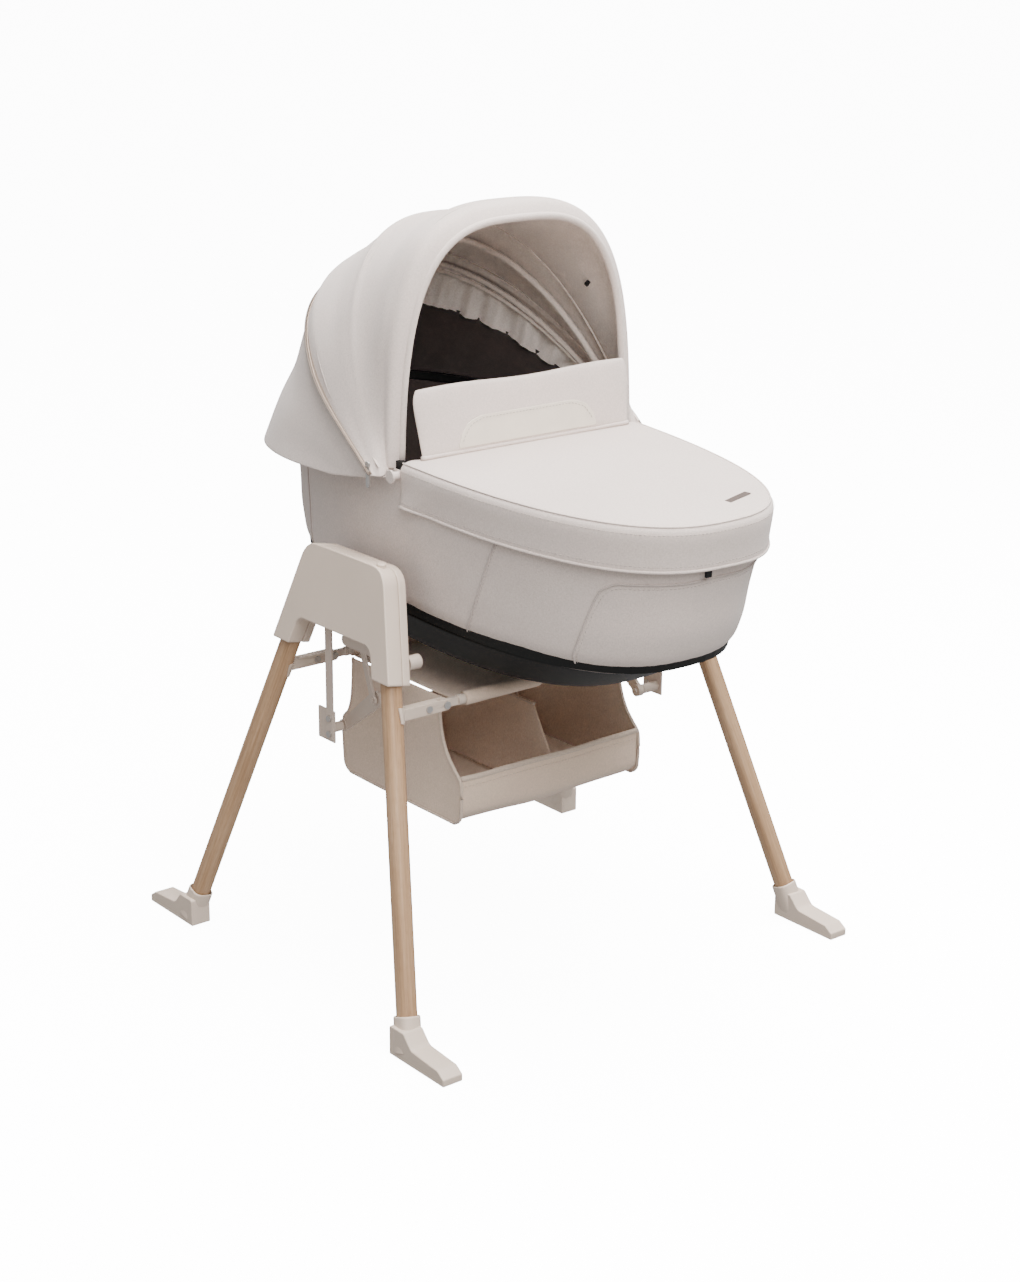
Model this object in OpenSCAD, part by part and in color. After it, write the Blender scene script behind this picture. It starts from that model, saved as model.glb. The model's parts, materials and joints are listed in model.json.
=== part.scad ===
// Bassinet on a folding wooden-legged stand.
// Two equal side frames carry a fabric carrycot on rocking rails.
// Millimetres. +Z is up, -Y is the foot end, the floor is Z = 0.

/* [View] */
// Sub-part to draw

/* [Stand] */
// Half the distance between the leg ends, side to side
leg_foot_x = 320; // [280:1:360]
// Half the distance between the leg ends, front to back
leg_foot_y = 238.7; // [200:0.1:280]
// Height of the leg axis where the leg's lower end is measured
leg_foot_z = 28.7; // [20:0.1:40]
// Half the distance between the hubs at the sleeve ends
sleeve_x = 245.6; // [220:0.1:270]
// Half the distance between a hub's two sleeves
sleeve_y = 108; // [90:1:130]
// Height of the sleeve ends
sleeve_z = 417.6; // [380:0.1:450]
// Leg radius
leg_r = 12; // [9:0.5:16]
// Height of the hub above its sleeve ends, along the hub
hub_h = 134.8; // [110:0.1:160]
// Hub thickness
hub_t = 34; // [28:1:40]
// Foot width
foot_w = 30; // [24:1:36]
// Distance of the toe from the middle of the stand
toe_y = 332; // [300:1:360]

/* [Crossbars] */
// Half the distance between the crossbars
bar_y = 120; // [100:1:140]
// Crossbar height
bar_z = 380; // [340:1:400]
// Distance of the outer crossbar pivots from the middle
bar_hinge_x = 175; // [150:1:190]
// Crossbar tube radius
bar_r = 6.5; // [5:0.5:9]

/* [Rocking gear] */
// Height of the rocking axis
rock_z = 470; // [450:1:500]
// Rocking pin radius
rock_pin_r = 5; // [4:0.5:7]

/* [Basket] */
// Half the basket's width
basket_x = 148; // [120:1:155]
// Basket floor height
basket_z = 210; // [180:1:240]
// Fabric wall thickness
basket_t = 3; // [2:0.5:4]

/* [Carrycot] */
// Half width of the fabric shell at its hem
cot_a0 = 178; // [165:1:195]
// Half width of the fabric shell at the rim
cot_a1 = 188.5; // [175:0.5:200]
// Reach of the shell towards the foot end, at its hem
cot_f0 = 370; // [340:1:420]
// Reach of the shell towards the foot end, at the rim
cot_f1 = 416.5; // [380:0.5:450]
// Reach of the head end as a part of the foot end's reach
cot_rear = 0.88; // [0.7:0.001:1]
// Height of the shell's hem
hem_z = 478; // [460:1:490]
// Height of the top of the rim
rim_z = 672; // [640:1:690]
// Height of the underside of the base
pan_z = 429; // [415:1:440]
// Apron skirt depth
skirt_h = 58; // [50:1:90]
// How far the foot end hangs down, in degrees
cot_tip = 3.4; // [0:0.1:5]
// Badge width
badge_w = 48; // [20:1:60]

/* [Hood] */
// Distance of the hood's pivot behind the middle of the stand
hood_y = -50; // [-70:1:0]
// Height of the hood's pivot
hood_z = 655; // [640:1:670]
// Radius of the front bow and visor
hood_r = 312.5; // [300:0.5:340]
// Width of a bow strip
bow_w = 11; // [8:1:16]

/* [Hidden] */
// All of the object is moved by this so that its box is centred
y_shift = 26.5;
fine = 64;
round_n = 48;
lean = atan((leg_foot_x - sleeve_x) / (sleeve_z - leg_foot_z));
leg_v = norm([leg_foot_x - sleeve_x, sleeve_z - leg_foot_z]);
splay = atan((leg_foot_y - sleeve_y) / leg_v);
sleeve_half = 17.9;
hood_a = 215.5;
hood_law = [[-4, 431], [3, 424], [9, 397], [15, 375], [21, 365], [36, 361], [44, 347], [52, 332]];

oat = [0.76, 0.71, 0.66];
stone = [0.78, 0.73, 0.68];
cream = [0.88, 0.85, 0.81];
oak = [0.80, 0.64, 0.47];
black = [0.06, 0.06, 0.06];
dark = [0.20, 0.17, 0.15];
steel = [0.62, 0.60, 0.57];
bronze = [0.38, 0.31, 0.25];
canvas = [0.74, 0.68, 0.61];

// ---------- helpers ----------

// Moves everything into the shared frame
module placed() {
    translate([0, y_shift, 0]) children();
}

// Puts a part of the left side frame on the right: the two are the same unit
module other_side() {
    rotate([0, 0, 180]) children();
}

// Cylinder from point a to point b
module rod(a, b, r) {
    d = b - a;
    l = norm(d);
    translate(a)
        rotate([0, acos(d[2] / l), atan2(d[1], d[0])])
            cylinder(h = l, r = r, $fn = fine);
}

// Cylinder along X from x0 to x1
module rod_x(x0, x1, y, z, r) {
    translate([x0, y, z]) rotate([0, 90, 0]) cylinder(h = x1 - x0, r = r, $fn = fine);
}

// Cylinder along Y from y0 to y1
module rod_y(y0, y1, x, z, r) {
    translate([x, y0, z]) rotate([-90, 0, 0]) cylinder(h = y1 - y0, r = r, $fn = fine);
}

// Box between two corners
module block(a, b) {
    translate(a) cube(b - a);
}

// Plate with an outline in Y and Z, between x0 and x1
module plate_x(x0, x1, pts) {
    translate([x0, 0, 0])
        rotate([90, 0, 90])
            linear_extrude(height = x1 - x0) polygon(pts);
}

// Point on the left leg's axis at height z, s = -1 front, 1 rear
function leg_at(z, s) = [
    -sleeve_x - (sleeve_z - z) * (leg_foot_x - sleeve_x) / (sleeve_z - leg_foot_z),
    s * (sleeve_y + (sleeve_z - z) * (leg_foot_y - sleeve_y) / (sleeve_z - leg_foot_z)),
    z
];

// Point on a superellipse, t in degrees
function squircle(t, a, f, r) =
    let (p = sin(t) > 0 ? 2.2 : 2.55, b = sin(t) > 0 ? r : f)
    [
        a * sign(cos(t)) * pow(abs(cos(t)), 2 / p),
        b * sign(sin(t)) * pow(abs(sin(t)), 2 / p)
    ];

// Plan outline of the carrycot, pulled in by inset
function plan(a, f, inset) = [
    for (i = [0:71]) squircle(i * 5, a - inset, f - inset, (f - inset) * cot_rear)
];

function mix(z, v0, v1) = v0 + (v1 - v0) * (z - hem_z) / (rim_z - hem_z);

// Tips the carrycot's body about the rocking axis, foot end down
module tipped() {
    translate([0, 0, rock_z]) rotate([cot_tip, 0, 0]) translate([0, 0, -rock_z]) children();
}

// Tapered slab that follows the carrycot's sides, pulled in by inset
module cot_slab(z0, z1, inset) {
    a0 = mix(z0, cot_a0, cot_a1);
    a1 = mix(z1, cot_a0, cot_a1);
    f0 = mix(z0, cot_f0, cot_f1);
    f1 = mix(z1, cot_f0, cot_f1);
    translate([0, 0, z0])
        linear_extrude(
            height = z1 - z0,
            slices = 1,
            scale = [(a1 - inset) / (a0 - inset), (f1 - inset) / (f0 - inset)]
        )
            polygon(plan(a0, f0, inset));
}

// ---------- side frame, drawn for the left ----------

// Leans the hub's own plane over the legs
module hub_plane() {
    translate([-sleeve_x, 0, sleeve_z]) rotate([0, lean, 0]) children();
}

// Half outline of the hub, from the sleeve's foot to the top
function hub_half() = [
    [sleeve_y + sleeve_half, 0],
    [86, 121],
    [83, 128],
    [78.5, 133],
    [73, hub_h]
];

function hub_arch() = [
    [sleeve_y - sleeve_half, 0],
    [81, 27],
    [77, 33],
    [69, 37]
];

function hub_outline() = concat(
    hub_half(),
    [for (i = [4:-1:0]) [-hub_half()[i][0], hub_half()[i][1]]],
    [for (p = hub_arch()) [-p[0], p[1]]],
    [for (i = [3:-1:0]) hub_arch()[i]]
);

module hub_layer(w0, w1) {
    difference() {
        hub_plane() plate_x(w0, w1, hub_outline());
        for (s = [-1, 1])
            rod(leg_at(400, s), leg_at(468, s), leg_r + 0.15);
        // slot for the hanger bar
        block([-230.6, 40.4, 440], [-226.9, 55.6, 462]);
        // bore for the rocking pin
        rod_x(-229, -200, 0, rock_z, rock_pin_r + 0.05);
        // bore for the push button
        translate([-227, -65, 536.5]) cylinder(h = 30, r = 6.1, $fn = fine);
        for (y = [-45, 30])
            rod_x(-250, -190, y, 515, 2.2);
    }
}

module hub_outer() {
    color(stone) hub_layer(-hub_t / 2, 5);
}

module hub_inner() {
    color(stone) hub_layer(5.2, hub_t / 2);
}

module leg(s) {
    color(oak) rod(leg_at(13, s), leg_at(465, s), leg_r);
}

// Boot with a toe that points away from the stand
module foot(s) {
    y1 = s * toe_y;
    heel = s * (leg_foot_y - 14);
    color(stone)
        difference() {
            union() {
                plate_x(-leg_foot_x - 3 - foot_w / 2, -leg_foot_x - 3 + foot_w / 2, [
                    [heel, 0],
                    [y1, 0],
                    [y1, 9],
                    [y1 - s * 9, 18],
                    [s * (leg_foot_y + 30), 22],
                    [s * (leg_foot_y + 14), 38],
                    [heel, 38]
                ]);
                difference() {
                    rod(leg_at(4, s), leg_at(46, s), 16);
                    block([-400, -400, -40], [0, 400, 0]);
                }
            }
            rod(leg_at(12.8, s), leg_at(60, s), leg_r + 0.15);
        }
}

// Saddle on the leg's inner side with a forked arm for the crossbar
module bracket(s) {
    difference() {
        union() {
            difference() {
                rod(leg_at(bar_z - 9, s), leg_at(bar_z + 9, s), 14.6);
                block([-300, -200, bar_z - 30], [-251, 200, bar_z + 30]);
            }
            block([-246, s * bar_y - 6.5, bar_z - 7], [-bar_hinge_x, s * bar_y + 6.5, bar_z + 7]);
            rod_y(s * bar_y - 6.5, s * bar_y + 6.5, -bar_hinge_x, bar_z, 7);
        }
        rod(leg_at(bar_z - 30, s), leg_at(bar_z + 30, s), leg_r + 0.15);
        block(
            [-bar_hinge_x - 11, s * bar_y - 3, bar_z - 12],
            [-bar_hinge_x + 12, s * bar_y + 3, bar_z + 12]
        );
        rod_y(s * bar_y - 20, s * bar_y + 20, -bar_hinge_x, bar_z, 3);
        rod_y(s * bar_y - 20, s * bar_y + 20, -202, bar_z, 2.6);
    }
}

module brackets() {
    color(stone) {
        bracket(-1);
        bracket(1);
    }
}

// Fixed bar that hangs below the hub and carries the strut's pivot
module hanger() {
    color(steel)
        difference() {
            union() {
                block([-230, 41, 296], [-227.5, 55, 461.5]);
                block([-227.6, 41, 292], [-225, 76, 334]);
                rod_x(-225.2, -200, 65, 303, 6.5);
                rod_x(-200.2, -187, 65, 303, 3.5);
            }
            for (z = [303, 324])
                rod_x(-240, -215, 48, z, 2.6);
        }
}

module rivets() {
    color(bronze) {
        for (s = [-1, 1]) {
            rod_y(s * bar_y - 6.8, s * bar_y + 6.8, -202, bar_z, 2.5);
            rod_y(s * bar_y + 6.7, s * bar_y + 8.4, -202, bar_z, 4.5);
            rod_y(s * bar_y - 8.4, s * bar_y - 6.7, -202, bar_z, 4.5);
        }
        for (z = [303, 324]) {
            rod_x(-231, -224.6, 48, z, 2.5);
            rod_x(-232.4, -230.2, 48, z, 4.2);
            rod_x(-224.8, -223.2, 48, z, 4.2);
        }
        for (y = [-45, 30])
            rod_x(-241, -215, y, 515, 2.1);
    }
}

module hinge_pins() {
    color(bronze)
        for (s = [-1, 1]) {
            rod_y(s * bar_y - 7, s * bar_y + 7, -bar_hinge_x, bar_z, 2.95);
            rod_y(s * bar_y + 6.7, s * bar_y + 8.6, -bar_hinge_x, bar_z, 4.8);
            rod_y(s * bar_y - 8.6, s * bar_y - 6.7, -bar_hinge_x, bar_z, 4.8);
        }
}

// ---------- crossbars ----------

// Flat end of a crossbar around its pivot at x, pointing along dir
module tongue(x, dir) {
    difference() {
        union() {
            rod_y(-bar_y - 2.8, -bar_y + 2.8, x, bar_z, 6.6);
            block(
                [min(x, x + dir * 21), -bar_y - 2.8, bar_z - 5],
                [max(x, x + dir * 21), -bar_y + 2.8, bar_z + 5]
            );
        }
        rod_y(-bar_y - 9, -bar_y + 9, x, bar_z, 3);
    }
}

// Half with a fork at the middle, drawn for the front left
module bar_half_fork() {
    color(stone) {
        tongue(-bar_hinge_x, 1);
        rod_x(-bar_hinge_x + 20, -20, -bar_y, bar_z, bar_r);
        difference() {
            union() {
                rod_y(-bar_y - 6.4, -bar_y + 6.4, 0, bar_z, 6.6);
                block([-21, -bar_y - 6.4, bar_z - 5], [0, -bar_y + 6.4, bar_z + 5]);
            }
            block([-13, -bar_y - 3, bar_z - 8], [8, -bar_y + 3, bar_z + 8]);
            rod_y(-bar_y - 9, -bar_y + 9, 0, bar_z, 3);
        }
    }
}

// Half with two flat ends, drawn for the front right
module bar_half_plain() {
    color(stone) {
        tongue(bar_hinge_x, -1);
        rod_x(20, bar_hinge_x - 20, -bar_y, bar_z, bar_r);
        tongue(0, 1);
    }
}

module centre_pin() {
    color(bronze) {
        rod_y(-bar_y - 7, -bar_y + 7, 0, bar_z, 2.95);
        rod_y(-bar_y + 6.6, -bar_y + 8.2, 0, bar_z, 4.8);
        rod_y(-bar_y - 8.2, -bar_y - 6.6, 0, bar_z, 4.8);
    }
}

// ---------- rocking gear, drawn for the left ----------

// Plate on the rocking axis, with the lug that the carrycot stands on
module rocker_arm() {
    color(steel) {
        rod_x(-228, -208.4, 0, rock_z, rock_pin_r);
        rod_x(-212.5, -208.5, 0, rock_z, 16);
        block([-212.5, -12, 424], [-208.5, 12, rock_z]);
        block([-208.6, -11, 438], [-183, 11, 444.7]);
    }
}

// Long rail with a rounded end, a knob at the foot end and the link's pin
module rocker_rail() {
    color(stone)
        difference() {
            union() {
                block([-221, -100, 426], [-212.8, 24, 440]);
                rod_x(-221, -212.8, 24, 433, 7);
                rod_x(-220.4, -203, -106, 437, 9);
            }
            rod_x(-224, -201, -106, 437, 3);
        }
    color(bronze) rod_x(-214, -196.5, 20, 430, 3);
}

// Tapered strut that pivots on the hanger
module strut() {
    color(stone)
        difference() {
            union() {
                rod_x(-198, -189.5, 65, 303, 8);
                rod_x(-197, -192.5, -7, 358, 10);
                plate_x(-197, -192.5, [[60, 297], [69, 309], [-1, 367], [-13, 349]]);
            }
            rod_x(-205, -180, 65, 303, 3.55);
            rod_x(-205, -180, -7, 358, 2.9);
        }
    color(bronze) rod_x(-203.5, -191, -7, 358, 3);
}

// Thin link between the strut and the rail
module link() {
    color(steel)
        difference() {
            union() {
                rod_x(-202, -198.2, -7, 358, 6);
                rod_x(-202, -198.2, 20, 430, 6);
                plate_x(-202, -198.2, [[-11, 359.5], [-3, 356.5], [24, 428.5], [16, 431.5]]);
            }
            rod_x(-206, -194, -7, 358, 3.05);
            rod_x(-206, -194, 20, 430, 3.35);
        }
}

module push_button() {
    color(oat) translate([-227, -65, 541]) {
        cylinder(h = 12.5, r = 6, $fn = fine);
        translate([0, 0, 12.5]) cylinder(h = 1.5, r1 = 6, r2 = 4.5, $fn = fine);
    }
}

// ---------- basket ----------

function basket_side() = [
    [-118, basket_z],
    [134, basket_z],
    [134, 284],
    [122, 297],
    [114, 322],
    [112, 371.8],
    [-76, 371.8],
    [-78, 340],
    [-84, 315],
    [-95, 294],
    [-108, 280],
    [-118, 275]
];

module basket_shell() {
    color(canvas) {
        block([-basket_x, -118, basket_z], [basket_x, 134, basket_z + basket_t]);
        block([-basket_x, -118, basket_z], [basket_x, -118 + basket_t, 273]);
        block([-basket_x, 134 - basket_t, basket_z], [basket_x, 134, 284]);
        plate_x(-basket_x, -basket_x + basket_t, basket_side());
        plate_x(basket_x - basket_t, basket_x, basket_side());
    }
}

module basket_partition() {
    color(canvas)
        plate_x(-1.5, 1.5, [
            [-114.5, basket_z + 3.4],
            [130.5, basket_z + 3.4],
            [130.5, 282],
            [112, 330],
            [-80, 330],
            [-114.5, 270]
        ]);
}

// Flat top with two sleeves that the crossbars run through
module basket_lid() {
    color(canvas)
        difference() {
            union() {
                block([-basket_x, -115, 372], [basket_x, 115, 374.6]);
                for (s = [-1, 1])
                    for (x = [-144, 24])
                        rod_x(x, x + 120, s * bar_y, bar_z, bar_r + 2.6);
            }
            for (s = [-1, 1])
                rod_x(-160, 160, s * bar_y, bar_z, bar_r + 0.7);
            for (s = [-1, 1])
                block([-24, s * bar_y - 10, bar_z - 9], [24, s * bar_y + 10, bar_z + 12]);
        }
}

// ---------- carrycot ----------

module pan() {
    color(black)
        tipped()
            difference() {
                translate([0, 0, pan_z])
                    linear_extrude(height = 47, slices = 1, scale = [170 / 146, 345 / 274])
                        polygon(plan(146, 274, 0));
                translate([0, 0, pan_z + 4])
                    linear_extrude(height = 47, slices = 1, scale = [168 / 143, 342 / 270])
                        polygon(plan(143, 270, 2));
            }
}

module tub() {
    color(dark)
        difference() {
            tipped()
                difference() {
                    cot_slab(hem_z + 2.3, rim_z - 10.4, 3.4);
                    cot_slab(hem_z + 6.3, rim_z, 7.4);
                }
            rod_x(-230, 230, hood_y, hood_z, 5.2);
        }
}

module shell() {
    color(oat)
        difference() {
            tipped()
                difference() {
                    cot_slab(hem_z, rim_z - 6, 0);
                    cot_slab(hem_z - 1, rim_z + 1, 3);
                }
            rod_x(-230, 230, hood_y, hood_z, 5.6);
        }
}

module inner_lining() {
    color(dark)
        tipped()
            difference() {
                cot_slab(hem_z + 6.8, rim_z - 10.4, 7.8);
                cot_slab(hem_z + 5, rim_z + 1, 10.8);
            }
}

module cot_mattress() {
    color(cream) tipped() cot_slab(hem_z + 6.8, hem_z + 34, 11.4);
}

module rim() {
    color(black)
        difference() {
            tipped()
                difference() {
                    cot_slab(rim_z - 10, rim_z, 3.4);
                    cot_slab(rim_z - 11, rim_z + 1, 12);
                }
            rod_x(-230, 230, hood_y, hood_z, 5.2);
        }
}

// Blocks on the shell's sides that stand on the rockers' lugs
module side_adapters() {
    color(stone)
        for (s = [-1, 1])
            difference() {
                block([s > 0 ? 180.6 : -195, -14, 445], [s > 0 ? 195 : -180.6, 14, 498]);
                rod_x(s * 200 - 24, s * 200 + 24, 0, 463, 3);
            }
}

// Fabric cover over the foot end, with a skirt that draws in towards its hem
module cover() {
    color(oat)
        difference() {
            tipped()
                difference() {
                    translate([0, 0, rim_z + 4 - skirt_h])
                        linear_extrude(height = skirt_h, slices = 1, scale = [194.5 / 190.5, 421.5 / 412])
                            polygon(plan(190.5, 412, 0));
                    translate([0, 0, rim_z + 3 - skirt_h])
                        linear_extrude(
                            height = skirt_h - 2.6,
                            slices = 1,
                            scale = [191.1 / 187.1, 418.1 / 408.6]
                        )
                            polygon(plan(190.5, 412, 3.4));
                }
            block([-250, -70, 500], [250, 500, 800]);
        }
}

// Blank plaque near the foot end's left edge
module name_badge() {
    color(steel)
        tipped()
            translate([63, -362, rim_z + 4.1])
                rotate([0, 0, 17])
                    block([-badge_w / 2, -4.5, 0], [badge_w / 2, 4.5, 1.5]);
}

module hook() {
    color(black) tipped() block([-27, -411.6, 608], [-18, -408.4, 617.4]);
}

// ---------- hood ----------

// Turns a profile of [radius, x] about the hood's axis, from angle t0 to t1
module about_hood(t0, t1) {
    translate([0, hood_y, hood_z])
        rotate([90, 0, 90])
            rotate([0, 0, t0])
                rotate_extrude(angle = t1 - t0, $fn = 96) children();
}

function arch_pt(t, a, r) = [
    r * pow(abs(sin(t)), 2 / 2.3),
    a * sign(cos(t)) * pow(abs(cos(t)), 2 / 2.3)
];

function arch(a, r) = [for (i = [0:32]) arch_pt(1.8 + 176.4 * i / 32, a, r)];

// Cross-section of a hood panel of outer half width a and radius r
module hood_profile(a, r, t) {
    polygon(concat(arch(a, r), [for (i = [32:-1:0]) arch(a - t, r - t)[i]]));
}

// Panel that turns on the hood's pins
module hood_panel(a, r, t, t0, t1) {
    difference() {
        union() {
            about_hood(t0, t1) hood_profile(a, r, t);
            for (s = [-1, 1])
                rod_x(
                    s > 0 ? a - t : -a,
                    s > 0 ? a : -a + t,
                    hood_y,
                    hood_z,
                    17
                );
        }
        rod_x(-230, 230, hood_y, hood_z, rock_pin_r + 0.1);
    }
}

module hood_bow(a, r, t, ang, w) {
    about_hood(ang - w / r * 57.3 / 2, ang + w / r * 57.3 / 2) hood_profile(a, r, t);
}

function hood_radius(ang) = lookup(ang, hood_law);

function rear_pt(ang, t, inset) =
    let (
        q = arch_pt(t, hood_a - inset, hood_radius(ang) - inset)
    )
    [q[1], hood_y + q[0] * cos(ang), hood_z + q[0] * sin(ang)];

rear_m = 16;
rear_n = 32;

function rear_grid(inset) = [
    for (i = [0:rear_m])
        for (j = [0:rear_n])
            rear_pt(-4 + 56 * i / rear_m, 2.2 + 175.6 * j / rear_n, inset)
];

function rear_cell(k, i, j) = k * (rear_m + 1) * (rear_n + 1) + i * (rear_n + 1) + j;

// Fixed rear of the hood, deeper towards the head end
module rear_shell() {
    m = rear_m;
    n = rear_n;
    polyhedron(
        points = concat(rear_grid(0), rear_grid(3.4)),
        faces = concat(
            [for (i = [0:m - 1]) for (j = [0:n - 1])
                [rear_cell(0, i, j), rear_cell(0, i, j + 1), rear_cell(0, i + 1, j + 1)]],
            [for (i = [0:m - 1]) for (j = [0:n - 1])
                [rear_cell(0, i, j), rear_cell(0, i + 1, j + 1), rear_cell(0, i + 1, j)]],
            [for (i = [0:m - 1]) for (j = [0:n - 1])
                [rear_cell(1, i, j), rear_cell(1, i + 1, j + 1), rear_cell(1, i, j + 1)]],
            [for (i = [0:m - 1]) for (j = [0:n - 1])
                [rear_cell(1, i, j), rear_cell(1, i + 1, j), rear_cell(1, i + 1, j + 1)]],
            [for (j = [0:n - 1])
                [rear_cell(0, 0, j + 1), rear_cell(0, 0, j), rear_cell(1, 0, j)]],
            [for (j = [0:n - 1])
                [rear_cell(0, 0, j + 1), rear_cell(1, 0, j), rear_cell(1, 0, j + 1)]],
            [for (j = [0:n - 1])
                [rear_cell(0, m, j), rear_cell(0, m, j + 1), rear_cell(1, m, j + 1)]],
            [for (j = [0:n - 1])
                [rear_cell(0, m, j), rear_cell(1, m, j + 1), rear_cell(1, m, j)]],
            [for (i = [0:m - 1])
                [rear_cell(0, i, 0), rear_cell(0, i + 1, 0), rear_cell(1, i + 1, 0)]],
            [for (i = [0:m - 1])
                [rear_cell(0, i, 0), rear_cell(1, i + 1, 0), rear_cell(1, i, 0)]],
            [for (i = [0:m - 1])
                [rear_cell(0, i + 1, n), rear_cell(0, i, n), rear_cell(1, i, n)]],
            [for (i = [0:m - 1])
                [rear_cell(0, i + 1, n), rear_cell(1, i, n), rear_cell(1, i + 1, n)]]
        )
    );
}

module hinge_caps() {
    color(oat)
        for (s = [-1, 1]) {
            rod_x(s > 0 ? 181 : -200.6, s > 0 ? 200.6 : -181, hood_y, hood_z, rock_pin_r);
            rod_x(s > 0 ? 200.4 : -203.4, s > 0 ? 203.4 : -200.4, hood_y, hood_z, 8);
        }
}

// ---------- wind flap and zip ----------

// Leans the flap back from its hinge line
module flap_plane() {
    translate([0, -64, rim_z + 3.5]) rotate([-9.2, 0, 0]) children();
}

module flap_board() {
    color(oat)
        flap_plane()
            rotate([90, 0, 0])
                translate([0, 0, -2.4])
                    linear_extrude(height = 4.8)
                        polygon([
                            [-166, 0.5],
                            [166, 0.5],
                            [173, 66],
                            [170, 76],
                            [161, 82],
                            [-161, 82],
                            [-170, 76],
                            [-173, 66]
                        ]);
}

module patch() {
    color(cream)
        flap_plane()
            rotate([90, 0, 0])
                translate([0, 0, 2.5])
                    linear_extrude(height = 1.3)
                        polygon([
                            [-110, 3],
                            [110, 3],
                            [109, 8],
                            [103, 21],
                            [94, 32],
                            [82, 38],
                            [66, 40],
                            [-66, 40],
                            [-82, 38],
                            [-94, 32],
                            [-103, 21],
                            [-109, 8]
                        ]);
}

module puller() {
    color(steel)
        difference() {
            union() {
                rod_x(-219.4, -216.6, -26, 668, 3.6);
                block([-218.8, -29, 642], [-217.4, -23, 666]);
                rod_x(-218.8, -217.4, -26, 642, 3);
            }
            rod_x(-222, -214, -26, 668, 1.6);
        }
}

// ---------- sub-parts ----------

module hub_outer_left() { placed() hub_outer(); }
module hub_inner_left() { placed() hub_inner(); }
module leg_front_left() { placed() leg(-1); }
module leg_rear_left() { placed() leg(1); }
module foot_front_left() { placed() foot(-1); }
module foot_rear_left() { placed() foot(1); }
module brackets_left() { placed() brackets(); }
module hanger_left() { placed() hanger(); }
module rivets_left() { placed() rivets(); }
module hinge_pins_left() { placed() hinge_pins(); }
module hub_outer_right() { placed() other_side() hub_outer(); }
module hub_inner_right() { placed() other_side() hub_inner(); }
module leg_front_right() { placed() other_side() leg(1); }
module leg_rear_right() { placed() other_side() leg(-1); }
module foot_front_right() { placed() other_side() foot(1); }
module foot_rear_right() { placed() other_side() foot(-1); }
module brackets_right() { placed() other_side() brackets(); }
module hanger_right() { placed() other_side() hanger(); }
module rivets_right() { placed() other_side() rivets(); }
module hinge_pins_right() { placed() other_side() hinge_pins(); }
module basket_body() { placed() basket_shell(); }
module basket_divider() { placed() basket_partition(); }
module basket_top() { placed() basket_lid(); }
module bar_front_a() { placed() bar_half_fork(); }
module bar_front_b() { placed() bar_half_plain(); }
module bar_rear_a() { placed() other_side() bar_half_plain(); }
module bar_rear_b() { placed() other_side() bar_half_fork(); }
module centre_pin_front() { placed() centre_pin(); }
module centre_pin_rear() { placed() other_side() centre_pin(); }
module rocker_arm_left() { placed() rocker_arm(); }
module rocker_rail_left() { placed() rocker_rail(); }
module rocker_arm_right() { placed() other_side() rocker_arm(); }
module rocker_rail_right() { placed() other_side() rocker_rail(); }
module strut_left() { placed() strut(); }
module strut_right() { placed() other_side() strut(); }
module link_left() { placed() link(); }
module link_right() { placed() other_side() link(); }
module button_left() { placed() push_button(); }
module button_right() { placed() other_side() push_button(); }
module base_pan() { placed() pan(); }
module carrycot_tub() { placed() tub(); }
module shell_fabric() { placed() shell(); }
module lining() { placed() inner_lining(); }
module mattress() { placed() cot_mattress(); }
module top_rim() { placed() rim(); }
module adapters() { placed() side_adapters(); }
module apron() { placed() cover(); }
module badge() { placed() name_badge(); }
module hem_hook() { placed() hook(); }
module hood_rear() { placed() color(oat) rear_shell(); }
module hood_bow_rear() { placed() color(steel) hood_bow(210.4, 352.4, 3, 38, bow_w); }
module hood_discs() { placed() hinge_caps(); }
module hood_panel_mid() { placed() color(oat) hood_panel(200, 316, 3, 51.4, 74); }
module hood_bow_mid() { placed() color(steel) hood_bow(200, 316, 3, 50, 8); }
module hood_panel_front() { placed() color(oat) hood_panel(192.5, hood_r, 3, 72, 90); }
module hood_bow_front() { placed() color(oat) hood_bow(192.5, hood_r, 3, 91.2, bow_w); }
module wind_flap() { placed() flap_board(); }
module flap_patch() { placed() patch(); }
module zip_puller() { placed() puller(); }

hub_outer_left();
hub_inner_left();
leg_front_left();
leg_rear_left();
foot_front_left();
foot_rear_left();
brackets_left();
hanger_left();
rivets_left();
hinge_pins_left();
hub_outer_right();
hub_inner_right();
leg_front_right();
leg_rear_right();
foot_front_right();
foot_rear_right();
brackets_right();
hanger_right();
rivets_right();
hinge_pins_right();
basket_body();
basket_divider();
basket_top();
bar_front_a();
bar_front_b();
bar_rear_a();
bar_rear_b();
centre_pin_front();
centre_pin_rear();
rocker_arm_left();
rocker_rail_left();
rocker_arm_right();
rocker_rail_right();
strut_left();
strut_right();
link_left();
link_right();
button_left();
button_right();
base_pan();
carrycot_tub();
shell_fabric();
lining();
mattress();
top_rim();
adapters();
apron();
badge();
hem_hook();
hood_rear();
hood_bow_rear();
hood_discs();
hood_panel_mid();
hood_bow_mid();
hood_panel_front();
hood_bow_front();
wind_flap();
flap_patch();
zip_puller();
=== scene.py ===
import json
from math import sin, cos, tan, pi, radians, exp, atan2

import bpy
import bmesh
import numpy as np
from mathutils import Vector, Matrix, noise

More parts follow.
